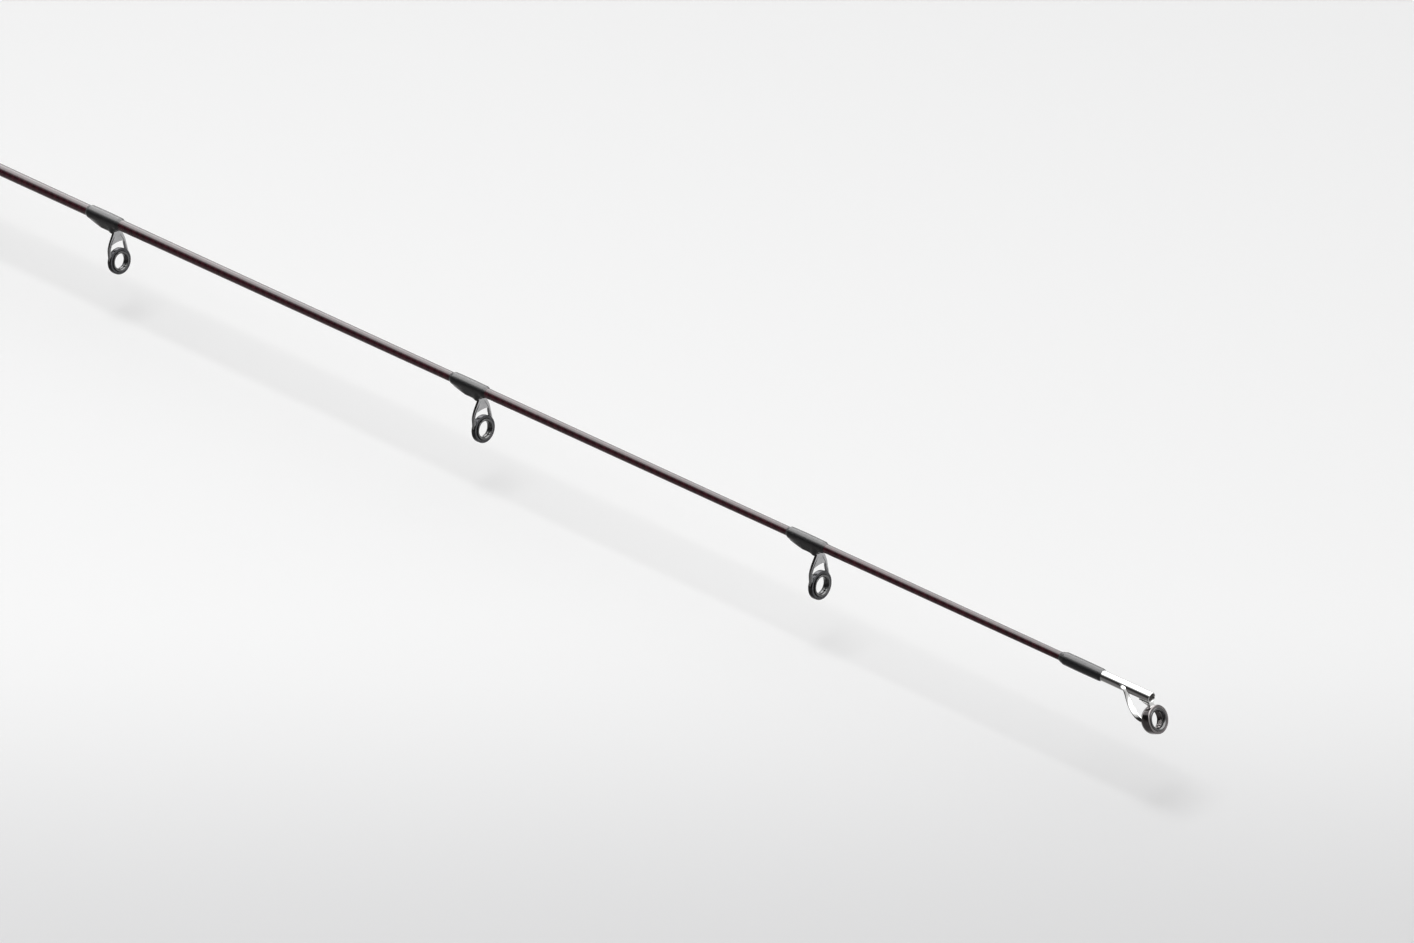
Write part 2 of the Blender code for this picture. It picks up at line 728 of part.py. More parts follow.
def tip_blank(shoulder_x, end_x):
    """Tapered tube, with its stations closer together toward the tip, and a spigot on its end."""
    start = butt_section_length + section_gap
    stations = [shoulder_x + (start - shoulder_x) * (k / 7) ** 1.15 for k in range(8)]
    spigot = tip_spigot_diameter / 2
    outer = [(end_x, spigot), (shoulder_x, spigot)] + [(x, tip_radius(x)) for x in stations]
    bore = [(start, tip_radius(start) - tip_wall), (shoulder_x, spigot - tip_wall),
            (end_x, spigot - tip_wall)]
    turned_part("tip_blank", [(x - start, r) for x, r in outer + bore], blank_finish,
                start, 0.0, tip_section)


def ferrule():
    """Sleeve glued on the tip blank, whose open end slips over the butt blank."""
    mouth = butt_section_length - socket_depth
    joint = butt_section_length + section_gap / 2
    end = joint + sleeve_grip
    bore_mouth = bore_round(butt_radius(mouth), seat_gap, blank_sides)
    bore_joint = bore_round(butt_radius(joint), seat_gap, blank_sides)
    bore_end = bore_round(tip_radius(end), seat_gap, blank_sides)
    points = [(end, bore_end + 0.25 * MM), (end - sleeve_lip, bore_end + sleeve_wall),
              (joint, bore_joint + sleeve_wall), (mouth, bore_mouth + sleeve_wall),
              (mouth, bore_mouth), (joint, bore_joint), (end, bore_end)]
    turned_part("ferrule_sleeve", [(x - mouth, r) for x, r in points], blank_finish,
                mouth, 0.0, tip_section)
    start = mouth + 1.0 * MM
    stop = start + ferrule_wrap_length
    bore = bore_round(bore_mouth + sleeve_wall, thread_gap, wrap_sides)
    wrap = [(stop, bore + wrap_lip), (stop - 1.0 * MM, bore + wrap_thickness),
            (start + 1.0 * MM, bore + wrap_thickness), (start, bore + wrap_lip),
            (start, bore), (stop, bore)]
    turned_part("ferrule_wrap", [(x - start, r) for x, r in wrap], thread,
                start, 0.0, tip_section, wrap_sides)


def butt_blank():
    """Tapered tube, standing on the cap's floor, with a chamfer where the sleeve goes on."""
    start = butt_cap_floor + seat_gap
    front = butt_radius(butt_section_length)
    points = [(butt_section_length, front - blank_chamfer), (butt_section_length - blank_chamfer, front),
              (start, butt_radius(start)), (start, butt_radius(start) - butt_wall),
              (butt_section_length, front - butt_wall)]
    turned_part("butt_blank", [(x - start, r) for x, r in points], blank_finish, start)


def butt_end():
    """Rubber cap, trim ring, butt grip and its check."""
    radius = butt_cap_radius
    bore = bore_round(butt_radius(0.0), seat_gap, grip_sides)
    cap = [(butt_cap_floor, 0.0), (butt_cap_floor, bore), (butt_cap_length, bore),
           (butt_cap_length, radius - edge_break), (butt_cap_length - edge_break, radius),
           (1.6 * butt_cap_edge, radius), (0.5 * butt_cap_edge, radius - 0.5 * butt_cap_edge),
           (0.0, radius - 1.6 * butt_cap_edge), (0.0, 0.0)]
    turned_part("butt_cap", cap, rubber, sides=grip_sides)

    start = butt_cap_length + seat_gap
    end = start + trim_ring_length
    inner = trim_ring_radius - edge_break
    outer = [(start, inner), (start + edge_break, trim_ring_radius),
             (end - edge_break, trim_ring_radius), (end, inner)]
    sleeve("butt_trim_ring", outer, start, end, anodised)

    start = end + seat_gap
    end = start + butt_grip_length
    outer = [(start, butt_grip_radius - grip_edge / 2), (start + grip_edge, butt_grip_radius),
             (start + 0.3 * butt_grip_length, butt_grip_radius - 0.3 * MM),
             (start + 0.6 * butt_grip_length, butt_grip_waist),
             (start + 0.8 * butt_grip_length, butt_grip_waist),
             (end - grip_edge, butt_grip_front + grip_edge / 2), (end, butt_grip_front)]
    sleeve("butt_grip", outer, start, end, foam)
    winding_check("butt_grip_check", end + seat_gap, butt_grip_front, 1)


def winding_check(name, near, grip_radius, facing):
    """Coned trim ring; its wide face is at near, and it narrows to the blank toward facing."""
    far = near + facing * check_length
    radius = grip_radius - edge_break
    outer = [(near, radius - edge_break), (near + facing * edge_break, radius),
             (near + facing * 0.45 * check_length, radius),
             (far, butt_radius(far) + seat_gap + check_lip)]
    sleeve(name, outer, min(near, far), max(near, far), anodised)


def rear_grip():
    start = rear_grip_start
    end = start + rear_grip_length
    winding_check("rear_grip_check", start - seat_gap, rear_grip_tail, -1)
    outer = [(start, rear_grip_tail), (start + grip_edge, rear_grip_tail + grip_edge / 2),
             (start + 0.4 * rear_grip_length, 0.3 * rear_grip_tail + 0.7 * seat_radius),
             (start + 0.8 * rear_grip_length, seat_radius),
             (end - grip_edge, seat_radius), (end, seat_radius - grip_edge / 2)]
    sleeve("rear_grip", outer, start, end, foam)


def fore_grip(start):
    end = start + fore_grip_length
    outer = [(start, seat_radius - grip_edge / 2), (start + grip_edge, seat_radius),
             (start + 0.25 * fore_grip_length, seat_radius),
             (start + 0.6 * fore_grip_length, (seat_radius + fore_grip_front) / 2),
             (end - grip_edge, fore_grip_front + grip_edge / 2), (end, fore_grip_front)]
    sleeve("fore_grip", outer, start, end, foam)
    winding_check("fore_grip_check", end + seat_gap, fore_grip_front, 1)


def bulge_outline(radius, chord, steps):
    """Part of a circle round the hoods' centre that lies below the chord."""
    half = math.acos((chord - hood_centre) / radius)
    arc = [-half + 2 * half * k / steps for k in range(steps + 1)]
    return [(radius * math.sin(a), -hood_centre - radius * math.cos(a)) for a in arc]


def reel_seat(start):
    """Moulded seat: threaded barrel, swelled front with a flat deck, and the fixed hood."""
    end = start + seat_length
    barrel_end = start + hood_start + hood_length + hood_travel + barrel_runout
    sides = 24
    outer = [(end, seat_radius - 0.7 * MM), (end - 1.5 * MM, seat_radius),
             (end - 0.3 * (end - barrel_end), seat_radius),
             (barrel_end + 8.0 * MM, seat_radius),
             (barrel_end + 2.5 * MM, seat_radius - 1.4 * MM),
             (barrel_end, barrel_radius), (start + 0.8 * MM, barrel_radius),
             (start, barrel_radius - 0.8 * MM), (start, seat_bore), (end, seat_bore)]
    body = turned_part("reel_seat_body", [(x - start, r) for x, r in outer], moulding, start,
                       sides=sides)

    hood_end = end - 2.0 * MM
    hood_mouth = hood_end - fixed_hood_length
    bulge = [(hood_end, 0.0), (hood_end, hood_radius - 3.4 * MM),
             (hood_end - 2.0 * MM, hood_radius - 1.2 * MM), (hood_end - 5.0 * MM, hood_radius),
             (hood_mouth, hood_radius), (hood_mouth, 0.0)]
    hood = turned_tool("fixed_hood_bulge", bulge, 0.0, -hood_centre, sides)
    bore = turned_tool("seat_bore_cut", [(end + 1.0 * MM, 0.0), (end + 1.0 * MM, seat_bore),
                                         (start - 1.0 * MM, seat_bore), (start - 1.0 * MM, 0.0)],
                       sides=sides)
    combine(body, hood, "UNION")
    combine(body, bore, "DIFFERENCE")

    far = 30.0 * MM
    flat_loop = [(-far, -deck_depth), (-far, -far), (far, -far), (far, -deck_depth)]
    flat = new_tool("deck_cut", prism_mesh("deck_cut", flat_loop, start - 1.0 * MM, hood_mouth))
    combine(body, flat, "DIFFERENCE")
    pocket_loop = bulge_outline(hood_radius - hood_wall, deck_depth, 10)
    pocket_end = hood_mouth + fixed_pocket_depth
    pocket = new_tool("fixed_pocket_cut",
                      prism_mesh("fixed_pocket_cut", pocket_loop, hood_mouth - 1.0 * MM,
                                 pocket_end))
    combine(body, pocket, "DIFFERENCE")

    arbor_radius = seat_bore * math.cos(math.pi / sides) - seat_gap
    for name, x in (("seat_arbor_rear", start + arbor_inset),
                    ("seat_arbor_front", end - arbor_inset - arbor_length)):
        outer = [(x, arbor_radius), (x + arbor_length, arbor_radius)]
        sleeve(name, outer, x, x + arbor_length, arbor, sides)
    return end


def sliding_hood(seat_start):
    """Metal hood keyed to the barrel's flat, with its liner, pushed along by the lock nut."""
    rear = seat_start + hood_start
    front = rear + hood_length
    sides = 24
    shell = [(hood_length, 0.0), (hood_length, hood_ring_radius - 0.4 * MM),
             (hood_length - 0.5 * MM, hood_ring_radius), (0.5 * MM, hood_ring_radius),
             (0.0, hood_ring_radius - 0.5 * MM), (0.0, 0.0)]
    hood = turned_part("sliding_hood", shell, steel, rear, 0.0, hood_slide, sides)
    bulge = [(hood_length, 0.0), (hood_length, hood_radius), (7.0 * MM, hood_radius),
             (3.0 * MM, hood_radius - 1.4 * MM), (1.0 * MM, hood_radius - 3.6 * MM),
             (1.0 * MM, 0.0)]
    swell = turned_tool("sliding_hood_bulge", bulge, rear, -hood_centre, sides)
    combine(hood, swell, "UNION")

    barrel = bore_round(barrel_radius, seat_gap, sides)
    flat_z = deck_depth + seat_gap
    half = math.acos(flat_z / barrel)
    turns = [half + (2 * math.pi - 2 * half) * k / sides for k in range(sides + 1)]
    keyed = [(barrel * math.sin(a), -barrel * math.cos(a)) for a in turns]
    bore = new_tool("hood_bore_cut", prism_mesh("hood_bore_cut", keyed, rear - 1.0 * MM,
                                                front + 1.0 * MM))
    combine(hood, bore, "DIFFERENCE")
    pocket_loop = bulge_outline(hood_radius - hood_wall, 0.8 * deck_depth, 10)
    pocket = new_tool("hood_pocket_cut",
                      prism_mesh("hood_pocket_cut", pocket_loop, front - hood_pocket_depth,
                                 front + 1.0 * MM))
    combine(hood, pocket, "DIFFERENCE")

    outside = hood_radius - hood_wall - seat_gap
    arc_out = bulge_outline(outside, deck_depth + 0.5 * MM, 10)
    arc_in = bulge_outline(outside - liner_thickness, deck_depth + 0.5 * MM, 10)
    loop = arc_out + list(reversed(arc_in))
    liner_start = front - hood_pocket_depth + seat_gap
    mesh = prism_mesh("hood_liner", loop, liner_start - rear, front - 0.4 * MM - rear)
    new_part("hood_liner", mesh, liner_plastic, rear, 0.0, hood_slide)

    nut_front = rear - seat_gap
    nut_rear = nut_front - nut_length
    count = nut_flutes * 3
    bore_radius = bore_round(barrel_radius, seat_gap, count)

    def nut_ring(x, radius, depth):
        ring = []
        for k in range(count):
            angle = 2 * math.pi * k / count
            r = radius - depth * (1 - math.cos(nut_flutes * angle)) / 2
            ring.append((x - nut_rear, r * math.sin(angle), r * math.cos(angle)))
        return ring

    rings = [nut_ring(nut_front, nut_radius - 1.4 * MM, 0.0),
             nut_ring(nut_front - 1.2 * MM, nut_radius - 0.9 * MM, 0.0),
             nut_ring(nut_front - 2.2 * MM, nut_radius, nut_flute),
             nut_ring(nut_rear + 1.2 * MM, nut_radius, nut_flute),
             nut_ring(nut_rear, nut_radius - 1.2 * MM, 0.0),
             nut_ring(nut_rear, bore_radius, 0.0),
             nut_ring(nut_front, bore_radius, 0.0)]
    new_part("lock_nut", loft_ring("lock_nut", rings), moulding, nut_rear, 0.0, nut_spin)


def wire_mesh(name, points, radius):
    """Bend a wire through points and cap it."""
    curve = bpy.data.curves.new(name, "CURVE")
    curve.dimensions = "3D"
    curve.bevel_depth = radius / MM
    curve.bevel_resolution = 2
    curve.use_fill_caps = True
    spline = curve.splines.new("POLY")
    spline.points.add(len(points) - 1)
    for point, (x, y, z) in zip(spline.points, points):
        point.co = (x / MM, y / MM, z / MM, 1.0)
    holder = bpy.data.objects.new(name, curve)
    cutters.objects.link(holder)
    swept = holder.evaluated_get(bpy.context.evaluated_depsgraph_get())
    mesh = bpy.data.meshes.new_from_object(swept)
    bpy.data.objects.remove(holder)
    bm = bmesh.new()
    bm.from_mesh(mesh)
    bmesh.ops.scale(bm, verts=bm.verts, vec=(MM, MM, MM))
    return mesh_from(name, bm)


def hook_keeper():
    """Small wire arch under the blank, held by a wrap on each foot."""
    radius = keeper_wire / 2
    seat = butt_radius(keeper_x) + thread_gap + radius
    half = keeper_span / 2
    bend = 1.8 * MM
    steps = 4
    side = []
    for k in range(steps + 1):
        angle = math.pi / 2 * k / steps
        side.append((half + bend - bend * math.sin(angle), bend - bend * math.cos(angle)))
    for k in range(steps + 1):
        angle = math.pi / 2 * k / steps
        rise = keeper_rise - bend + bend * math.sin(angle)
        side.append((half - bend + bend * math.cos(angle), rise))
    side = [(half + bend + keeper_foot, 0.0)] + side
    arch = [(x, 0.0, -seat - rise) for x, rise in side]
    arch += [(-x, 0.0, -seat - rise) for x, rise in reversed(side)]
    keeper = wire_mesh("hook_keeper", arch, radius)
    new_part("hook_keeper", keeper, steel, keeper_x)

    inner_end = half + bend
    outer_end = inner_end + keeper_foot
    for name, facing in (("hook_keeper_rear_wrap", -1), ("hook_keeper_front_wrap", 1)):

        def section(along, pad, covered):
            x = facing * along
            main = bore_round(butt_radius(keeper_x + x), thread_gap, wrap_sides) + pad
            discs = [(0.0, 0.0, main)]
            if covered:
                discs.append((0.0, -seat, bore_round(radius, thread_gap, wrap_sides) + pad))
            return hull_section(x, discs, wrap_sides)

        outer = [section(inner_end + 0.2 * MM, wrap_lip, True),
                 section(inner_end + 1.0 * MM, wrap_thickness, True),
                 section(outer_end, wrap_thickness, True),
                 section(outer_end + 2.0 * MM, wrap_thickness, False),
                 section(outer_end + 3.0 * MM, wrap_lip, False)]
        bore = [section(outer_end + 3.0 * MM, 0.0, False),
                section(outer_end + 0.5 * MM, 0.0, False),
                section(outer_end + 0.3 * MM, 0.0, True),
                section(inner_end + 0.2 * MM, 0.0, True)]
        new_part(name, loft_ring(name, outer + bore), thread, keeper_x)


clear_scene()
rod = new_collection("drop_shot_rod")
cutters = new_collection("cutters")

blank_finish = new_material("blank_finish", (0.035, 0.008, 0.012), 0.18)
thread = new_material("thread", (0.008, 0.008, 0.009), 0.2)
gunmetal = new_material("gunmetal", (0.09, 0.09, 0.095), 0.25, 1.0)
chrome = new_material("chrome", (0.82, 0.82, 0.82), 0.08, 1.0)
steel = new_material("steel", (0.1, 0.1, 0.105), 0.3, 1.0)
ceramic = new_material("ceramic", (0.03, 0.03, 0.032), 0.15)
anodised = new_material("anodised", (0.22, 0.02, 0.035), 0.25, 1.0)
foam = new_material("foam", (0.02, 0.02, 0.021), 0.9)
rubber = new_material("rubber", (0.018, 0.018, 0.018), 0.75)
moulding = new_material("moulding", (0.015, 0.015, 0.016), 0.4)
liner_plastic = new_material("liner_plastic", (0.02, 0.02, 0.02), 0.5)
arbor = new_material("arbor", (0.05, 0.05, 0.05), 0.8)

seat_start = rear_grip_start + rear_grip_length + seat_gap
tip_section = joint_empty("tip_section", butt_section_length - socket_depth)
hood_slide = joint_empty("hood_slide", seat_start + hood_start)
nut_spin = joint_empty("nut_spin", seat_start + hood_start - seat_gap - nut_length)

butt_blank()
butt_end()
rear_grip()
seat_end = reel_seat(seat_start)
sliding_hood(seat_start)
fore_grip(seat_end + seat_gap)
hook_keeper()
ferrule()

first_x = rod_length - tip_to_first_guide
last_x = butt_section_length + section_gap / 2 + sleeve_grip + sleeve_to_last_guide
guide_x = first_x
for count, sizes in enumerate(zip(guide_ring_sizes, guide_drops, guide_wraps, guide_tilts)):
    single_foot_guide(count + 1, guide_x, *sizes)
    if count < len(guide_steps):
        guide_x -= (first_x - last_x) * guide_steps[count] / sum(guide_steps)
stripper_guide(butt_section_length - socket_depth - stripper_to_sleeve)
tip_blank(*tip_top())
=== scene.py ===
"""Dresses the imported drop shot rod: finer forms, materials, studio floor, lights and camera.

Metres, +Z up, +X from butt to tip. Sizes repeat those of the CAD model.
"""
from math import acos, atan2, cos, exp, hypot, pi, radians, sin, sqrt

import bmesh
import bpy
from mathutils import Matrix, Vector


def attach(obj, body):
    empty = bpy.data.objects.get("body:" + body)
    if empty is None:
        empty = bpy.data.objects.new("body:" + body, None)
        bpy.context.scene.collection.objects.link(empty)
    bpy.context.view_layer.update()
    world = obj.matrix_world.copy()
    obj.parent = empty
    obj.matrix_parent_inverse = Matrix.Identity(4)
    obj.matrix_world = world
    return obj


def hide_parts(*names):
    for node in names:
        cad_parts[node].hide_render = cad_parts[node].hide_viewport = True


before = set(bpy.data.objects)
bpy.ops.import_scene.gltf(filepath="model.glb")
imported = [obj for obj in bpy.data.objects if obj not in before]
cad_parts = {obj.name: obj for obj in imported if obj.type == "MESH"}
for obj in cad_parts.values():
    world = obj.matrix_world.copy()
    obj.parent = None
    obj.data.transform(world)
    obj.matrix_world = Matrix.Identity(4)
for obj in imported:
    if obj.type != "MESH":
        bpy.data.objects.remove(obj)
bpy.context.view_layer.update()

MM = 0.001


def mm(*sizes):
    return [size * MM for size in sizes]


thread_gap = 0.15 * MM
seat_gap = 0.3 * MM

# Blank and ferrule
butt_section_length = 1070.0 * MM
tip_section_length = 1030.0 * MM
rod_length = butt_section_length + tip_section_length
ferrule_diameter = 5.6 * MM
butt_taper = 0.0050
butt_wall = 0.9 * MM
tip_diameter = 2.05 * MM
tip_curve = 0.25
tip_wall = 0.45 * MM
socket_depth = 50.0 * MM
section_gap = 2.0 * MM
sleeve_grip = 28.0 * MM
sleeve_wall = 0.75 * MM
ferrule_wrap_length = 12.0 * MM

# Guides, counted from the tip
tip_to_first_guide = 104.5 * MM
sleeve_to_last_guide = 28.0 * MM
guide_steps = (113.0, 135.5, 140.0, 150.0, 160.0, 170.0)      # in proportion
# Of each: ring size, drop and length of wrap in millimetres, tilt in degrees
guide_sizes = ((5.5, 10.95, 12.1, 8.0), (5.5, 10.95, 12.4, 8.0), (5.5, 11.3, 12.7, 8.0),
               (6.0, 12.0, 13.4, 7.5), (7.0, 13.2, 14.6, 7.0), (8.0, 15.0, 16.0, 5.5),
               (10.0, 17.5, 18.0, 5.5))
smallest_ring = guide_sizes[0][0] * MM
lean_share = 0.5              # of the tilt, taken by the legs
sheet_thickness = 0.7 * MM
plate_edge = 0.17 * MM        # rounding of all stamped edges
heel_radius = 0.55 * MM
guide_leg_width = 0.85 * MM
guide_foot_half = 0.9 * MM
guide_neck_half = 1.45 * MM
eye_lap = 0.1 * MM            # how far the eye of the plate reaches into the band
bead_height = 0.14 * MM
ring_wall = 0.77 * MM
ring_width = 1.9 * MM
band_wall = 0.75 * MM
band_width = 1.3 * MM
stripper_to_sleeve = 138.0 * MM
stripper_ring_size = 16.0 * MM
stripper_drop = 21.0 * MM
stripper_wrap = 22.0 * MM
stripper_tilt = radians(5.5)
stripper_lean = radians(-24.0)
brace_lean = radians(-28.0)
brace_half_width = 1.5 * MM

# Thread wraps
film = 0.02 * MM              # between a finer surface and what it covers
wrap_thickness = 0.32 * MM
wrap_lead = 1.4 * MM          # in front of the foot's toe
wrap_lock = 2.7 * MM          # past a single foot's heel
toe_run = 1.2 * MM            # from the bare blank up to the foot
foot_corner = 0.12 * MM
epoxy_edge = 0.03 * MM
epoxy_run = 0.9 * MM
epoxy_crown = 0.06 * MM
heap_height = 0.35 * MM
heap_reach = 0.9 * MM

# Tip-top
tip_ring_setback = 1.85 * MM
tip_ring_drop = 5.1 * MM
tip_ring_size = 5.5 * MM
tip_ring_width = 1.3 * MM
tip_ring_tilt = radians(25.0)
tip_tube_wall = 0.3 * MM
tip_tube_length = 25.2 * MM
tip_tube_setback = 1.75 * MM
tip_tube_recess = 0.25 * MM
tip_tube_overlap = 11.3 * MM
tip_spigot_diameter = 1.7 * MM
spigot_setback = 1.6 * MM
tip_wrap_length = 12.9 * MM
tip_bezel_depth = 2.8 * MM
tip_bezel_wall = 0.5 * MM
tip_leg_root = 6.9 * MM
tip_leg_dip = radians(40.0)
tip_leg_width = 1.9 * MM
tip_leg_thickness = 0.5 * MM
leg_twist = radians(57.0)
tip_leg_tongue = 2.2 * MM     # brazed along the tube's side behind each leg
root_lift = 0.6 * MM          # of a leg where it leaves the tube
root_tuck = 0.14 * MM
tongue_tuck = 0.3 * MM
tip_bridge_width = 1.6 * MM
# Along a leg: share of its run, flare to the side, sink and width
tip_leg_shape = ((0.0, 0.0, 0.04, 0.65), (0.14, 0.1, 0.34, 0.9), (0.36, 0.45, 0.66, 1.0),
                 (0.66, 0.85, 0.9, 1.0), (1.0, 1.0, 1.0, 0.9))

# Handle
edge_break = 0.4 * MM
grip_edge = 1.2 * MM
bore_slip = 0.06 * MM
butt_cap_length = 12.0 * MM
butt_cap_radius = 13.4 * MM
butt_blank_start = 3.3 * MM
cap_grooves = mm(8.6, 6.4, 4.2)
groove_half = 0.45 * MM
groove_depth = 0.35 * MM
trim_ring_length = 3.0 * MM
trim_ring_radius = 13.0 * MM
butt_grip_length = 90.0 * MM
butt_grip_radius = 13.0 * MM
butt_grip_waist = 11.4 * MM
butt_grip_front = 10.2 * MM
check_length = 4.2 * MM
check_lip = 0.8 * MM
rear_grip_start = 229.0 * MM
rear_grip_length = 53.0 * MM
rear_grip_tail = 8.6 * MM
fore_grip_length = 46.0 * MM
fore_grip_front = 8.4 * MM
seat_length = 102.0 * MM
seat_bore = 7.0 * MM
barrel_runout = 2.3 * MM
barrel_radius = 9.8 * MM
seat_radius = 12.2 * MM
deck_depth = 9.3 * MM
hood_centre = 4.6 * MM
hood_radius = 11.3 * MM
hood_wall = 1.3 * MM
fixed_hood_length = 22.0 * MM
fixed_pocket_depth = 14.0 * MM
hood_ring_radius = 12.4 * MM
hood_length = 22.4 * MM
hood_pocket_depth = 12.0 * MM
liner_thickness = 0.9 * MM
hood_start = 15.0 * MM
hood_travel = 14.0 * MM
nut_length = 13.6 * MM
nut_radius = 13.0 * MM
nut_flute = 0.55 * MM
nut_flutes = 12
thread_pitch = 2.0 * MM
thread_depth = 0.42 * MM
seat_sides = 96
keeper_x = 462.0 * MM
keeper_wire = 1.1 * MM
keeper_span = 9.0 * MM
keeper_rise = 5.2 * MM
keeper_foot = 6.0 * MM
keeper_bend = 1.8 * MM

scene = bpy.context.scene
tip_end = rod_length - tip_ring_setback - tip_tube_setback
tube_bore = (tip_spigot_diameter / 2 + thread_gap) / cos(pi / 16)
tube_radius = tube_bore + tip_tube_wall
bezel_radius = tip_ring_size / 2 + thread_gap + tip_bezel_wall
barrel_length = hood_start + hood_length + hood_travel + barrel_runout
barrel_end = barrel_length - 1.0 * MM
butt, tip, hood_body, nut_body = "butt_section", "tip_section", "hood", "nut"


def butt_radius(x):
    return (ferrule_diameter + butt_taper * (butt_section_length - x)) / 2


def tip_radius(x):
    share = (rod_length - x) / tip_section_length
    share = (1 - tip_curve) * share + tip_curve * share * share
    return (tip_diameter + (ferrule_diameter - tip_diameter) * share) / 2


def clamp(t):
    return min(1.0, max(0.0, t))


def smooth(t):
    t = clamp(t)
    return t * t * (3 - 2 * t)


# Mesh making

def angles(sides, shift=0.0):
    """Angles of points spread evenly round a circle."""
    return [2 * pi * (k + shift) / sides for k in range(sides)]


def from_bmesh(bm):
    mesh = bpy.data.meshes.new("form")
    bm.to_mesh(mesh)
    bm.free()
    return mesh


def finish_mesh(bm, sharp):
    bmesh.ops.remove_doubles(bm, verts=bm.verts, dist=0.0002 * MM)
    bmesh.ops.recalc_face_normals(bm, faces=bm.faces)
    mesh = from_bmesh(bm)
    mesh.shade_smooth()
    mesh.set_sharp_from_angle(angle=radians(sharp))
    return mesh


def rounded(points, radius, steps, closed=False):
    """Polyline with its corners eased; radius is one value or one per point."""
    points = [Vector(p) for p in points]
    count = len(points)
    eased = []
    for k, here in enumerate(points):
        r = radius[k] if isinstance(radius, (list, tuple)) else radius
        if r <= 0 or (not closed and k in (0, count - 1)):
            eased.append(tuple(here))
            continue
        before = points[k - 1] - here
        after = points[(k + 1) % count] - here
        start = here + before.normalized() * min(r, 0.48 * before.length)
        end = here + after.normalized() * min(r, 0.48 * after.length)
        for j in range(steps + 1):
            t = j / steps
            eased.append(tuple(start * (1 - t) ** 2 + here * 2 * t * (1 - t) + end * t * t))
    return eased


def skin(rows, closed=False, caps=False, sharp=40.0):
    """Faces between rows of points that each close on themselves."""
    bm = bmesh.new()
    made = [[bm.verts.new(point) for point in row] for row in rows]
    pairs = list(zip(made, made[1:]))
    if closed:
        pairs.append((made[-1], made[0]))
    for first, second in pairs:
        count = max(len(first), len(second))
        for k in range(count):
            j = (k + 1) % count
            if len(first) == 1:
                bm.faces.new((first[0], second[j], second[k]))
            elif len(second) == 1:
                bm.faces.new((first[k], first[j], second[0]))
            else:
                bm.faces.new((first[k], first[j], second[j], second[k]))
    if caps:
        bm.faces.new(made[0])
        bm.faces.new(made[-1])
    return finish_mesh(bm, sharp)


def lathe(profile, sides, closed=False, shape=None):
    """Surface turned about X. shape(along, angle, radius) may change a radius."""
    rows = []
    for along, radius in profile:
        if radius < 0.000001 * MM:
            rows.append([(along, 0.0, 0.0)])
            continue
        row = []
        for angle in angles(sides):
            r = shape(along, angle, radius) if shape else radius
            row.append((along, r * sin(angle), r * cos(angle)))
        rows.append(row)
    return skin(rows, closed)


def revolve(outline, corners, steps=4, sides=72, closed=True):
    """Surface turned about X from an outline with its corners eased."""
    return lathe(rounded(outline, corners, steps, closed), sides, closed)


def prism(loop, start, end):
    """Outline of (y, z) points extruded along X."""
    return skin([[(x, y, z) for y, z in loop] for x in (start, end)], caps=True)


def joined(*parts):
    bm = bmesh.new()
    for mesh in parts:
        bm.from_mesh(mesh)
    return from_bmesh(bm)


def linked(name, data):
    made = bpy.data.objects.new(name, data)
    scene.collection.objects.link(made)
    return made


def evaluated(*things):
    """Mesh of the first object as it is evaluated; all of the objects are then removed."""
    graph = bpy.context.evaluated_depsgraph_get()
    mesh = bpy.data.meshes.new_from_object(things[0].evaluated_get(graph))
    for thing in things:
        bpy.data.objects.remove(thing)
    return mesh


def carve(base, swell, cutters, bevel):
    """Base joined with the swell of a hood and cut by others, with its real edges eased."""
    work = linked("carved", base)
    things = [work]
    steps = [("UNION", swell, -hood_centre)] + [("DIFFERENCE", mesh, 0.0) for mesh in cutters]
    for operation, mesh, z in steps:
        helper = linked("tool", mesh)
        helper.location = (0.0, 0.0, z)
        things.append(helper)
        boolean = work.modifiers.new("cut", "BOOLEAN")
        boolean.operation = operation
        boolean.solver = "EXACT"
        boolean.object = helper
    ease = work.modifiers.new("ease", "BEVEL")
    ease.width = bevel
    ease.segments = 3
    ease.limit_method = "ANGLE"
    ease.angle_limit = radians(32)
    mesh = evaluated(*things)
    mesh.shade_smooth()
    mesh.set_sharp_from_angle(angle=radians(38))
    return mesh


def dress(mesh, kind, node, body, x=0.0, z=0.0, tilt=0.0, name=None):
    """Put a mesh in the place of a node, as a piece that rides a body."""
    material, slot = kinds[kind]
    piece = linked(name or node + ("_gloss" if kind == "wrap" else "_fine"), mesh)
    piece.location = (x, 0.0, z)
    piece.rotation_euler = (0.0, -tilt, 0.0)
    mesh.name = piece.name
    mesh.materials.clear()
    mesh.materials.append(material)
    bpy.context.view_layer.update()
    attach(piece, body)
    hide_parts(node)


# Materials

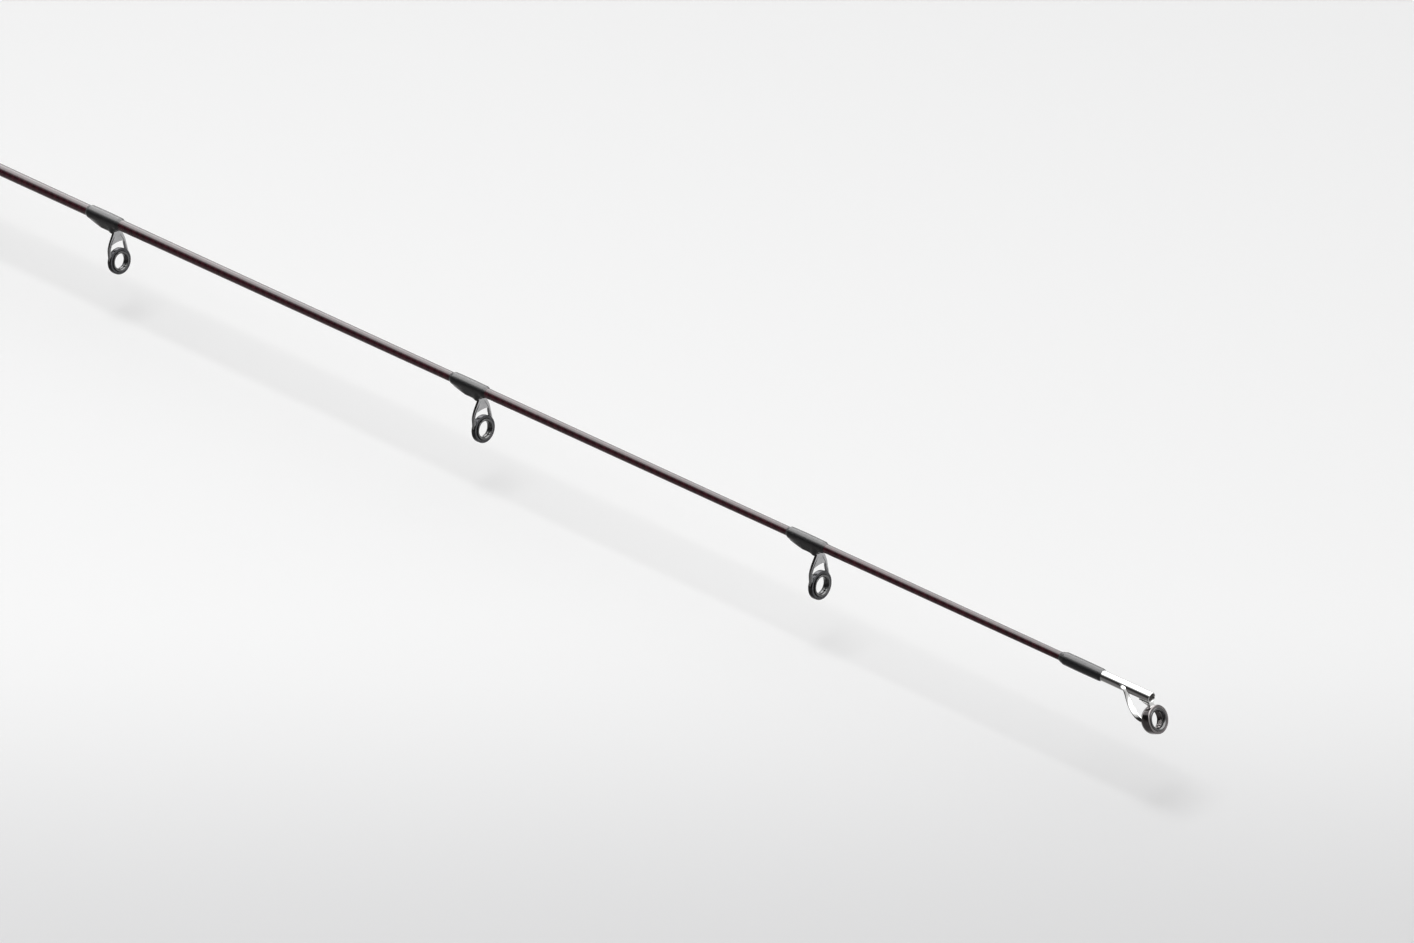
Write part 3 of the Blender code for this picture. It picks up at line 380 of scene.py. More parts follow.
class Wiring:
    """Short ways to make and join the nodes of one tree."""

    def __init__(self, tree):
        self.tree = tree

    def node(self, kind, **settings):
        made = self.tree.nodes.new(kind)
        for key, value in settings.items():
            setattr(made, key, value)
        return made

    def link(self, source, target):
        self.tree.links.new(source, target)

    def math(self, operation, first, second=0.0):
        made = self.node("ShaderNodeMath", operation=operation)
        for socket, value in zip(made.inputs, (first, second)):
            if isinstance(value, (int, float)):
                socket.default_value = value
            else:
                self.link(value, socket)
        return made.outputs[0]

    def times(self, first, second):
        return self.math("MULTIPLY", first, second)

    def plus(self, first, second):
        return self.math("ADD", first, second)

    def axes(self, vector):
        split = self.node("ShaderNodeSeparateXYZ")
        self.link(vector, split.inputs[0])
        return split.outputs

    def between(self, value, low, high):
        """0 to 1 as the value goes from low to high, eased at both ends."""
        made = self.node("ShaderNodeMapRange", interpolation_type="SMOOTHSTEP")
        made.inputs["From Min"].default_value = low
        made.inputs["From Max"].default_value = high
        self.link(value, made.inputs["Value"])
        return made.outputs[0]


class Look(Wiring):
    """A Principled material and short ways to wire it."""

    def __init__(self, name, colour, roughness, metallic=0.0, **sockets):
        self.material = bpy.data.materials.new(name)
        self.material.use_nodes = True
        super().__init__(self.material.node_tree)
        self.shader = self.tree.nodes["Principled BSDF"]
        self.set("Base Color", (*colour, 1.0))
        self.set("Roughness", roughness)
        self.set("Metallic", metallic)
        for socket, value in sockets.items():
            self.set(socket.replace("_", " ").title().replace("Ior", "IOR"), value)
        self.place = self.node("ShaderNodeTexCoord").outputs["Object"]

    def set(self, socket, value):
        self.shader.inputs[socket].default_value = value

    def noise(self, scale, detail=2.0, stretch=1.0, roughness=0.5):
        """Noise on the object, drawn out along X where stretch isn't 1."""
        made = self.node("ShaderNodeTexNoise")
        made.inputs["Scale"].default_value = scale
        made.inputs["Detail"].default_value = detail
        made.inputs["Roughness"].default_value = roughness
        where = self.place
        if stretch != 1.0:
            mapping = self.node("ShaderNodeMapping")
            mapping.inputs["Scale"].default_value = (stretch, 1.0, 1.0)
            self.link(where, mapping.inputs["Vector"])
            where = mapping.outputs[0]
        self.link(where, made.inputs["Vector"])
        return made.outputs["Fac"]

    def spiral(self, pitch):
        """0 to 1 across each turn of a helix about X."""
        x, y, z = self.axes(self.place)
        angle = self.math("DIVIDE", self.math("ARCTAN2", y, z), 2 * pi)
        return self.math("FRACT", self.plus(self.math("DIVIDE", x, pitch * MM), angle))

    def ramp(self, factor, low, high, dark, light):
        """Colour from dark to light as the factor goes from low to high."""
        made = self.node("ShaderNodeValToRGB")
        for stop, position, colour in zip(made.color_ramp.elements, (low, high), (dark, light)):
            stop.position = position
            stop.color = (*colour, 1.0)
        self.link(factor, made.inputs[0])
        return made.outputs[0]

    def colour(self, source):
        self.link(source, self.shader.inputs["Base Color"])

    def rough(self, factor, low, high):
        """Roughness from low to high over the factor's useful span."""
        made = self.node("ShaderNodeMapRange")
        for socket, value in zip(("From Min", "From Max", "To Min", "To Max"),
                                 (*useful_span, low, high)):
            made.inputs[socket].default_value = value
        self.link(factor, made.inputs["Value"])
        self.link(made.outputs[0], self.shader.inputs["Roughness"])

    def bump(self, height, distance, strength):
        made = self.node("ShaderNodeBump")
        made.inputs["Distance"].default_value = distance * MM
        made.inputs["Strength"].default_value = strength
        self.link(height, made.inputs["Height"])
        self.link(made.outputs[0], self.shader.inputs["Normal"])


useful_span = (0.3, 0.7)      # where a noise factor has most of its values


def lacquer():
    """Burgundy lacquer over carbon, with the soft spiral that the winding tape leaves."""
    look = Look("burgundy_lacquer", (0.030, 0.006, 0.010), 0.22, coat_weight=1.0,
                coat_roughness=0.03, specular_ior_level=0.2)
    tape = look.math("PINGPONG", look.spiral(2.4), 0.5)
    fibre = look.noise(900.0, 3.0, 0.05)
    mix = look.plus(look.times(tape, 0.7), look.times(fibre, 0.5))
    look.colour(look.ramp(mix, 0.2, 0.75, (0.018, 0.004, 0.006), (0.052, 0.009, 0.015)))
    look.rough(look.noise(350.0), 0.18, 0.3)
    look.bump(tape, 0.012, 0.5)
    return look.material


def thread_under_epoxy():
    """Black thread, its turns seen through a clear gloss coat."""
    look = Look("black_thread", (0.006, 0.006, 0.0065), 0.5, coat_weight=1.0,
                coat_roughness=0.05, specular_ior_level=0.35)
    turn = look.math("SINE", look.times(look.spiral(0.14), pi))
    fuzz = look.noise(6000.0)
    mix = look.plus(look.times(turn, 0.7), look.times(fuzz, 0.3))
    look.colour(look.ramp(mix, 0.15, 0.9, (0.003, 0.003, 0.0035), (0.012, 0.012, 0.013)))
    look.rough(fuzz, 0.4, 0.6)
    look.bump(turn, 0.03, 0.7)
    return look.material


def eva_foam():
    """Fine closed-cell foam, ground and buffed, with dull pores."""
    look = Look("eva_foam", (0.022, 0.022, 0.023), 0.9, specular_ior_level=0.25,
                sheen_weight=0.15, sheen_roughness=0.6)
    cells = look.node("ShaderNodeTexVoronoi")
    cells.inputs["Scale"].default_value = 2600.0
    look.link(look.place, cells.inputs["Vector"])
    pores = cells.outputs["Distance"]
    patches = look.noise(120.0, 4.0)
    mix = look.plus(look.times(pores, 0.5), look.times(patches, 0.6))
    look.colour(look.ramp(mix, 0.2, 0.8, (0.014, 0.014, 0.0145), (0.034, 0.034, 0.035)))
    look.rough(patches, 0.82, 0.95)
    look.bump(pores, 0.08, 0.6)
    return look.material


def grained(name, colour, roughness, metallic, tint, dark, light, polish, span, relief, height,
            strength, **sockets):
    """Colour, roughness and relief from noises, each given as the arguments of Look.noise."""
    look = Look(name, colour, roughness, metallic, **sockets)
    made = {noise: look.noise(*noise) for noise in dict.fromkeys((tint, polish, relief))}
    look.colour(look.ramp(made[tint], *useful_span, dark, light))
    if span:
        look.rough(made[polish], *span)
    look.bump(made[relief], height, strength)
    return look.material


def evenly_grained(name, colour, roughness, metallic, noise, dark, light, span, height, strength,
                   **sockets):
    """One noise gives colour, roughness and relief."""
    return grained(name, colour, roughness, metallic, noise, dark, light, noise, span, noise,
                   height, strength, **sockets)


gunmetal = grained("gunmetal_plate", (0.36, 0.36, 0.365), 0.16, 1.0, (700.0, 3.0),
                   (0.32, 0.32, 0.325), (0.42, 0.42, 0.425), (2500.0, 3.0), (0.12, 0.24),
                   (1800.0, 2.0), 0.006, 0.3)
# The same plating where it wraps the ring, dulled by the pressing
dark_plate = grained("dark_plate", (0.065, 0.065, 0.068), 0.2, 1.0, (900.0, 3.0),
                     (0.045, 0.045, 0.048), (0.085, 0.085, 0.09), (2500.0, 3.0), (0.14, 0.26),
                     (1800.0, 2.0), 0.006, 0.3)
chrome = grained("bright_chrome", (0.80, 0.80, 0.79), 0.07, 1.0, (900.0, 3.0),
                 (0.76, 0.76, 0.75), (0.84, 0.84, 0.83), (3000.0, 2.0), (0.05, 0.11),
                 (1500.0, 2.0), 0.004, 0.25)
# Chrome darkened by the heat of brazing, on the ring holder
smoked_chrome = grained("smoked_chrome", (0.20, 0.185, 0.185), 0.12, 1.0, (900.0, 3.0),
                        (0.17, 0.155, 0.155), (0.25, 0.235, 0.235), (3000.0, 2.0),
                        (0.08, 0.16), (1500.0, 2.0), 0.004, 0.25)
# The dull metal that closes the tip tube
braze = evenly_grained("brazed_plug", (0.05, 0.047, 0.045), 0.45, 1.0, (4000.0, 4.0),
                       (0.035, 0.033, 0.032), (0.075, 0.07, 0.067), (0.38, 0.55), 0.02, 0.4)
ceramic = evenly_grained("polished_ceramic", (0.018, 0.018, 0.019), 0.1, 0.0, (5000.0, 4.0),
                         (0.013, 0.013, 0.014), (0.026, 0.026, 0.027), (0.07, 0.14), 0.002, 0.2,
                         ior=1.85)
# Burgundy anodised aluminium, turned on a lathe and polished
trim = evenly_grained("anodised_aluminium", (0.24, 0.02, 0.035), 0.25, 1.0, (60.0, 4.0, 250.0),
                      (0.20, 0.016, 0.03), (0.29, 0.028, 0.045), (0.18, 0.34), 0.01, 0.35,
                      anisotropic=0.4)
rubber = grained("moulded_rubber", (0.018, 0.018, 0.018), 0.72, 0.0, (90.0, 3.0),
                 (0.014, 0.014, 0.014), (0.026, 0.026, 0.026), (1400.0, 3.0), (0.62, 0.8),
                 (1400.0, 3.0), 0.04, 0.5, specular_ior_level=0.35)
# Glass-filled nylon from a finely sparked mould
nylon = grained("moulded_nylon", (0.016, 0.016, 0.017), 0.42, 0.0, (60.0, 3.0),
                (0.013, 0.013, 0.014), (0.022, 0.022, 0.023), (2200.0, 4.0, 1.0, 0.6),
                (0.36, 0.5), (2200.0, 4.0, 1.0, 0.6), 0.02, 0.45, specular_ior_level=0.45)
# Black-plated steel with the drawn grain just showing
steel = evenly_grained("black_steel", (0.10, 0.10, 0.105), 0.28, 1.0, (40.0, 4.0, 180.0),
                       (0.08, 0.08, 0.085), (0.14, 0.14, 0.145), (0.2, 0.36), 0.012, 0.3,
                       anisotropic=0.3)
soft_liner = evenly_grained("soft_liner", (0.02, 0.02, 0.02), 0.6, 0.0, (1500.0, 3.0),
                            (0.015, 0.015, 0.015), (0.03, 0.03, 0.03), None, 0.02, 0.4)
packing = evenly_grained("fibre_packing", (0.05, 0.05, 0.048), 0.9, 0.0, (800.0, 5.0, 0.2),
                         (0.03, 0.03, 0.028), (0.08, 0.078, 0.074), None, 0.05, 0.6)

# Each kind of piece, with its material and its slot
kinds = {"blank": (lacquer(), "blank"), "wrap": (thread_under_epoxy(), "thread_wrap"),
         "plate": (gunmetal, "guide_metal"), "band": (dark_plate, "guide_metal"),
         "ring": (ceramic, "ring_ceramic"), "tip": (chrome, "tip_chrome"),
         "bezel": (smoked_chrome, "tip_chrome"), "plug": (braze, "tip_chrome"),
         "trim": (trim, "anodised_trim"), "foam": (eva_foam(), "foam_grip"),
         "cap": (rubber, "cap_rubber"), "seat": (nylon, "seat_moulding"),
         "hood": (steel, "hood_steel"), "keeper": (steel, "keeper_wire"),
         "liner": (soft_liner, "hood_liner")}


# Folding, as in the CAD model

def fold_at(bends, v, n):
    """Follow a strip that starts along +X and bends down; n is the height over its middle."""
    x, z, heading, here = 0.0, 0.0, 0.0, 0.0
    for start, length, turning in bends:
        if v <= start:
            break
        x += (start - here) * cos(heading)
        z -= (start - here) * sin(heading)
        step = min(v, start + length) - start
        rate = turning / length
        turned = heading + rate * step
        x += (sin(turned) - sin(heading)) / rate
        z += (cos(turned) - cos(heading)) / rate
        heading, here = turned, start + step
    x += (v - here) * cos(heading)
    z -= (v - here) * sin(heading)
    return x + n * sin(heading), z + n * cos(heading)


def sheet_metal(loops, guide, bends):
    """Flat pattern with eased edges, ground at the foot, scored at its bends and folded."""
    half = guide.sheet / 2
    curve = bpy.data.curves.new("flat", "CURVE")
    curve.dimensions = "2D"
    curve.fill_mode = "BOTH"
    curve.extrude = (half - plate_edge) / MM
    curve.bevel_depth = plate_edge / MM
    curve.bevel_resolution = 2
    curve.offset = -plate_edge / MM
    for loop in loops:
        spline = curve.splines.new("POLY")
        spline.points.add(len(loop) - 1)
        for point, (u, v) in zip(spline.points, loop):
            point.co = (u / MM, v / MM, 0.0, 1.0)
        spline.use_cyclic_u = True
    bm = bmesh.new()
    bm.from_mesh(evaluated(linked("flat", curve)))
    bmesh.ops.scale(bm, verts=bm.verts, vec=(MM, MM, MM))
    bmesh.ops.remove_doubles(bm, verts=bm.verts, dist=0.001 * MM)
    for vert in bm.verts:
        if vert.co.z < 0.0:
            vert.co.z *= (guide.foot_thickness(vert.co.y) - half) / half
    for start, length, turning in bends:
        count = 8 if abs(turning) > radians(30) else 3
        for k in range(count + 1):
            bmesh.ops.bisect_plane(bm, geom=bm.verts[:] + bm.edges[:] + bm.faces[:],
                                   dist=0.001 * MM, plane_co=(0.0, start + length * k / count, 0.0),
                                   plane_no=(0.0, 1.0, 0.0))
    for vert in bm.verts:
        u, v, n = vert.co
        x, z = fold_at(bends, v, n)
        vert.co = (x, u, z)
    return finish_mesh(bm, 35.0)


# Guides

class Guide:
    """Sizes of one stamped guide, as in the CAD model."""

    def __init__(self, ring_x, ring_size, drop, wrap_length, tilt, lean, radius, lock=0.0):
        growth = ring_size / smallest_ring
        self.ring_x, self.drop, self.radius = ring_x, drop, radius
        self.tilt, self.lock = tilt, lock
        self.ring_radius = ring_size / 2
        self.wall = ring_wall * sqrt(growth)
        self.width = ring_width * growth ** 0.2
        self.band_radius = self.ring_radius + thread_gap + band_wall
        self.sheet = sheet_thickness * growth ** 0.3
        self.leg_width = guide_leg_width * growth ** 0.6
        self.foot_half = guide_foot_half * growth ** 0.3
        self.neck_half = guide_neck_half * growth ** 0.6
        self.foot_length = wrap_length - wrap_lead - lock
        self.foot_top = radius(ring_x) + thread_gap
        self.middle = -(self.foot_top + self.sheet / 2)
        self.toe = [(self.foot_width(0.0), 0.0), (self.foot_half, 0.5 * self.foot_length)]
        heel_turn = pi / 2 + lean
        ring_turn = -(lean + tilt)
        heel = (self.foot_length, heel_radius * heel_turn, heel_turn)
        self.heel_end = self.foot_length + heel_radius * heel_turn
        bend_arc = 0.3 * MM + 2.0 * MM * abs(ring_turn)
        eye_reach = self.band_radius + eye_lap
        bare = fold_at([heel, (self.heel_end, bend_arc, ring_turn)],
                       self.heel_end + bend_arc + eye_reach, 0.0)[1]
        self.leg_reach = (drop + self.middle + bare) / sin(heel_turn)
        leg_end = self.heel_end + self.leg_reach
        self.bends = [heel, (leg_end, bend_arc, ring_turn)]
        self.eye = leg_end + bend_arc + eye_reach
        self.shift = ring_x - fold_at(self.bends, self.eye, 0.0)[0]
        self.heel_x = self.shift + self.foot_length

    def ground(self, v, least):
        """Share of the full size along the foot, which is ground from its middle to its toe."""
        return least + (1 - least) * clamp(v / (0.5 * self.foot_length))

    def foot_width(self, v):
        return self.foot_half * self.ground(v, 0.45)

    def foot_thickness(self, v):
        return self.sheet * self.ground(v, 0.4)


def on_circle(centre_v, radius, angle):
    return radius * sin(angle), centre_v - radius * cos(angle)


def mirrored(points):
    """The same points on the other side, last one first."""
    return [(-u, v) for u, v in reversed(points)]


def guide_plate(guide):
    """Foot, neck, two legs round a window, and the eye, about the ring's centre."""
    eye = guide.eye
    eye_radius = guide.band_radius - eye_lap
    shoulder = (guide.neck_half * 2.2, guide.heel_end + 0.85 * guide.leg_reach)
    across, along = shoulder[0], eye - shoulder[1]
    touch = atan2(across, along) + acos(eye_radius / hypot(across, along))
    side = guide.toe + [(guide.foot_half, guide.foot_length - 0.3 * MM),
                        (guide.neck_half, guide.heel_end), shoulder,
                        on_circle(eye, eye_radius, touch)]
    side = rounded(side, mm(0, 2, 0.4, 0.8, 2.5, 0), 5)
    for k in range(1, 20):
        side.append(on_circle(eye, eye_radius, touch + (pi - touch) * k / 20))
    outline = side + [(0.0, eye + eye_radius)] + mirrored(side)

    corner = touch - acos((eye_radius - guide.leg_width) / eye_radius)
    inside = shoulder[0] - 1.1 * guide.leg_width
    top = guide.heel_end + 1.6 * guide.neck_half + guide.leg_width
    share = (top - guide.heel_end) / (shoulder[1] - guide.heel_end)
    top_half = guide.neck_half + (shoulder[0] - guide.neck_half) * share - guide.leg_width
    edge = [(0.0, top - 0.1 * MM), (0.75 * top_half, top), (inside, shoulder[1]),
            on_circle(eye, eye_radius, corner), on_circle(eye, eye_radius, 0.6 * corner)]
    edge = rounded(edge, mm(0, 0.8, 0.8, 0.3, 0), 4)
    edge += [on_circle(eye, eye_radius, corner * share) for share in (0.45, 0.3, 0.15)]
    window = edge + [(0.0, eye - eye_radius)] + mirrored(edge[1:])
    hole = [on_circle(eye, guide.band_radius - 0.35 * MM, angle) for angle in angles(48)]
    plate = sheet_metal([outline, window, hole], guide, guide.bends)
    line = [(0.3 * guide.neck_half, guide.heel_end + 0.1 * MM),
            (shoulder[0] - 0.55 * guide.leg_width, shoulder[1]),
            on_circle(eye, eye_radius - guide.leg_width / 2, touch)]
    line = evenly(rounded(line, [0, 0.45 * guide.leg_reach, 0], 10), 36)
    beads = [pressed_bead(guide, [(side * u, v) for u, v in line]) for side in (1, -1)]
    whole = joined(plate, *beads)
    whole.transform(Matrix.Translation((guide.shift - guide.ring_x, 0.0,
                                        guide.middle + guide.drop)))
    return whole


def evenly(line, count):
    """The same line with its points spread evenly along it."""
    reach = [0.0]
    for (au, av), (bu, bv) in zip(line, line[1:]):
        reach.append(reach[-1] + hypot(bu - au, bv - av))
    points = []
    for k in range(count + 1):
        wanted = reach[-1] * k / count
        j = max(i for i in range(len(line) - 1) if reach[i] <= wanted)
        t = (wanted - reach[j]) / (reach[j + 1] - reach[j])
        points.append(tuple(a + (b - a) * t for a, b in zip(line[j], line[j + 1])))
    return points


def heading_at(line, k):
    before, after = line[max(0, k - 1)], line[min(len(line) - 1, k + 1)]
    return Vector((after[0] - before[0], after[1] - before[1])).normalized()


def pressed_bead(guide, line):
    """Half-round bead that stiffens the plate, along a line of its flat pattern."""
    rows = []
    for k, (u, v) in enumerate(line):
        heading = heading_at(line, k)
        fade = smooth(k / 9) * smooth((len(line) - 1 - k) / 9) + 0.02
        row = []
        for angle in angles(12):
            out = 0.26 * guide.leg_width * fade * cos(angle)
            n = guide.sheet / 2 + bead_height * fade * sin(angle)
            x, z = fold_at(guide.bends, v + heading[0] * out, n)
            row.append((x, u - heading[1] * out, z))
        rows.append(row)
    return skin(rows, caps=True, sharp=60.0)


def ring_mesh(radius, wall, width):
    """Ceramic ring: flat cheeks and a fully rounded, polished bore."""
    half = width / 2
    flat = 0.3 * wall
    points = [(-half, radius - flat), (-half, radius), (half, radius), (half, radius - flat)]
    points = rounded(points, mm(0, 0.12, 0.12, 0), 3)
    for k in range(1, 14):
        angle = pi * k / 14
        points.append((half * cos(angle), radius - flat - (wall - flat) * sin(angle)))
    return lathe(points, 72, True)


def hang(name, guide, plate, body):
    """Dress the frame, with the band as a piece of its own, and the ring."""
    place = (body, guide.ring_x, -guide.drop)
    dress(plate, "plate", name + "_frame", *place)
    inner = guide.ring_radius + film
    half = band_width / 2 * guide.width / ring_width
    band = [(half, inner), (half, guide.band_radius), (-half, guide.band_radius), (-half, inner)]
    dress(revolve(band, 0.22 * MM), "band", name + "_frame", *place, guide.tilt,
          name + "_band_fine")
    dress(ring_mesh(guide.ring_radius, guide.wall, guide.width), "ring", name + "_ring", *place,
          guide.tilt)


# Thread wraps

def hull_section(x, discs):
    """Section at x of a skin stretched over discs (y, z, radius), its corners softened."""
    sides = 48
    points = []
    for angle in angles(sides, 0.5):
        ny, nz = sin(angle), cos(angle)
        y, z, radius = max(discs, key=lambda disc: disc[0] * ny + disc[1] * nz + disc[2])
        points.append((x, y + radius * ny, z + radius * nz))
    for _ in range(2):
        points = [tuple((Vector(points[k - 1]) + 2 * Vector(p) + Vector(points[(k + 1) % sides]))
                        / 4) for k, p in enumerate(points)]
    return points


def epoxy(along, length):
    """Thickness of thread and epoxy: it runs out thin at both ends and crowns a little."""
    rise = smooth(along / epoxy_run) * smooth((length - along) / epoxy_run)
    crown = epoxy_crown * sin(pi * clamp(along / length))
    return epoxy_edge + (wrap_thickness - epoxy_edge) * rise + crown


def spaced(length, count):
    """Places along a wrap, closer together at its ends."""
    return [length * smooth(k / count) for k in range(count + 1)]


def wound(rows, radius):
    """Wrap from its sections, closed just inside the blank's surface."""
    inner = [hull_section(rows[k][0][0], [(0.0, 0.0, radius * 0.98)]) for k in (-1, 0)]
    return skin(rows + inner, closed=True, sharp=60.0)


def wrap_over_foot(node, guide, body, facing=1, heel=None):
    """Hull round blank and foot. At a single foot it goes on past the heel, where epoxy heaps."""
    heel = guide.heel_x if heel is None else heel
    total = guide.foot_length + wrap_lead + guide.lock
    rows = []
    count = 34 + int(guide.lock / (0.2 * MM))
    for k in range(count + 1):
        along = total * (0.5 * smooth(k / count) + 0.5 * k / count)
        v = along - wrap_lead
        past = v - guide.foot_length
        x = heel + facing * past
        blank = guide.radius(x)
        pad = epoxy(along, total)
        discs = [(0.0, 0.0, blank + film + pad)]
        if v > -toe_run:
            share = smooth((v + toe_run) / toe_run)
            heap = 0.0
            if guide.lock:
                share *= 1 - smooth((past - 0.2 * MM) / (1.3 * MM))
                heap = heap_height * exp(-((past + 0.1 * MM) / heap_reach) ** 2)
            depth = blank + (guide.foot_top + guide.foot_thickness(v) - blank) * share
            half = guide.foot_width(v) * share
            for side in (half, -half):
                discs.append((side, -depth + foot_corner, foot_corner + pad + heap))
        rows.append(hull_section(x - heel, discs))
    dress(wound(rows, guide.radius(heel)), "wrap", node, body, heel)


def single_foot_guide(number, ring_x, size, drop, wrap_length, tilt):
    name = f"guide_{number}"
    tilt = radians(tilt)
    guide = Guide(ring_x, size * MM, drop * MM, wrap_length * MM, tilt, lean_share * tilt,
                  tip_radius, wrap_lock)
    hang(name, guide, guide_plate(guide), tip)
    wrap_over_foot(name + "_wrap", guide, tip)


def stripper_guide(ring_x):
    """Double-foot guide: a single-foot frame with a brace that is folded the other way."""
    guide = Guide(ring_x, stripper_ring_size, stripper_drop, stripper_wrap, stripper_tilt,
                  stripper_lean, butt_radius)
    top_x = ring_x - guide.band_radius * sin(stripper_tilt)
    top_z = -stripper_drop + guide.band_radius * cos(stripper_tilt)
    turning = pi / 2 + brace_lean
    arc = 2.0 * heel_radius * turning
    bends = [(guide.foot_length, arc, turning)]
    heel_end = guide.foot_length + arc
    fall = guide.middle - top_z + fold_at(bends, heel_end, 0.0)[1]
    brace_length = heel_end + (fall + 0.3 * MM) / sin(turning)
    reach = fold_at(bends, brace_length, 0.0)[0]
    side = guide.toe + [(guide.foot_half, guide.foot_length),
                        (brace_half_width, heel_end + 1.0 * MM),
                        (brace_half_width * 0.8, brace_length)]
    side = rounded(side, mm(0, 2, 1, 1, 0), 4)
    brace = sheet_metal([side + mirrored(side)], guide, bends)
    brace.flip_normals()
    brace.transform(Matrix.Translation((top_x + reach - ring_x, 0.0,
                                        guide.middle + stripper_drop))
                    @ Matrix.Diagonal((-1.0, 1.0, 1.0, 1.0)))
    hang("stripper", guide, joined(guide_plate(guide), brace), butt)
    wrap_over_foot("stripper_rear_wrap", guide, butt)
    wrap_over_foot("stripper_front_wrap", guide, butt, -1, top_x + reach - guide.foot_length)


# Tip-top

def blended(points, t):
    """Smooth curve through rows of numbers."""
    span = min(len(points) - 2, int(t * (len(points) - 1)))
    u = t * (len(points) - 1) - span
    p0 = points[max(0, span - 1)]
    p1, p2 = points[span], points[span + 1]
    p3 = points[min(len(points) - 1, span + 2)]
    return [0.5 * (2 * b + (c - a) * u + (2 * a - 5 * b + 4 * c - d) * u * u
                   + (3 * b - a - 3 * c + d) * u ** 3) for a, b, c, d in zip(p0, p1, p2, p3)]


def tip_leg(side):
    """Leaf that starts as a tongue on the tube's side and untwists toward the ring holder."""
    end_y = bezel_radius - 0.45 * MM
    root_y = tube_bore + 0.1 * MM + tip_leg_thickness / 2
    foot_x = tip_tube_setback - 1.15 * MM
    foot_z = -0.05 * MM - tip_ring_drop
    section = rounded([(1.0, 1.0), (1.0, -1.0), (-1.0, -1.0), (-1.0, 1.0)], 0.35, 3, True)
    rows = []
    for k in range(-10, 17):
        along, back = max(0, k) / 16, max(0, -k) / 10
        share, flare, sink, width = blended(tip_leg_shape, along)
        root = 1 - smooth(k / 6)
        tail = smooth((along - 0.84) / 0.16)
        x = -tip_leg_root + (foot_x + tip_leg_root) * share - tip_leg_tongue * back
        y = root_y + (end_y - root_y) * flare - root_tuck * root - tongue_tuck * smooth(back)
        z = foot_z * sink + root_lift * root
        slim = (1 - 0.75 * smooth(back)) * (1 - 0.32 * smooth(5 * along)) * (1 - 0.45 * tail)
        wide = tip_leg_width * width / 2 * slim
        deep = tip_leg_thickness / 2 * (1 - 0.35 * tail)
        twist = leg_twist * smooth((k + 8) / 6) * smooth((1 - along) / 0.4)
        row = []
        for a, b in section:
            up = a * wide * cos(twist) + b * deep * sin(twist)
            out = b * deep * cos(twist) - a * wide * sin(twist)
            row.append((x + up * sin(tip_leg_dip), side * (y + out), z + up * cos(tip_leg_dip)))
        rows.append(row)
    for _ in range(3):
        eased = [[tuple((p + 2 * q + r) / 4 for p, q, r in zip(*three))
                  for three in zip(*near)] for near in zip(rows, rows[1:], rows[2:])]
        rows = rows[:1] + eased + rows[-1:]
    return skin(rows, caps=True)


def tip_bridge():
    """Bridge from the tube's underside to the ring holder, flared at both ends."""
    def bezel_point(along, out):
        x = tip_tube_setback + along * cos(tip_ring_tilt) - out * sin(tip_ring_tilt)
        return x, out * cos(tip_ring_tilt) + along * sin(tip_ring_tilt) - tip_ring_drop

    under = -tube_bore - tip_tube_wall / 2
    upper = [(-3.0 * MM, under), (-0.1 * MM, under)]
    lower = [bezel_point(0.1 * MM, bezel_radius - 0.6 * MM),
             bezel_point(0.0, bezel_radius - tip_bezel_wall / 2)]
    rows = []
    for k in range(7):
        t = k / 6
        half = tip_bridge_width / 2 * (1.0 + 0.3 * (2 * t - 1) ** 2)
        (ax, az), (bx, bz) = [(a[0] * (1 - t) + b[0] * t, a[1] * (1 - t) + b[1] * t)
                              for a, b in zip(upper, lower)]
        loop = rounded([(ax, -half), (bx, -half), (bx, half), (ax, half)], 0.2 * MM, 3, True)
        rows.append([(x, y, az + (bz - az) * ((x - ax) / (bx - ax))) for x, y in loop])
    return skin(rows, caps=True)


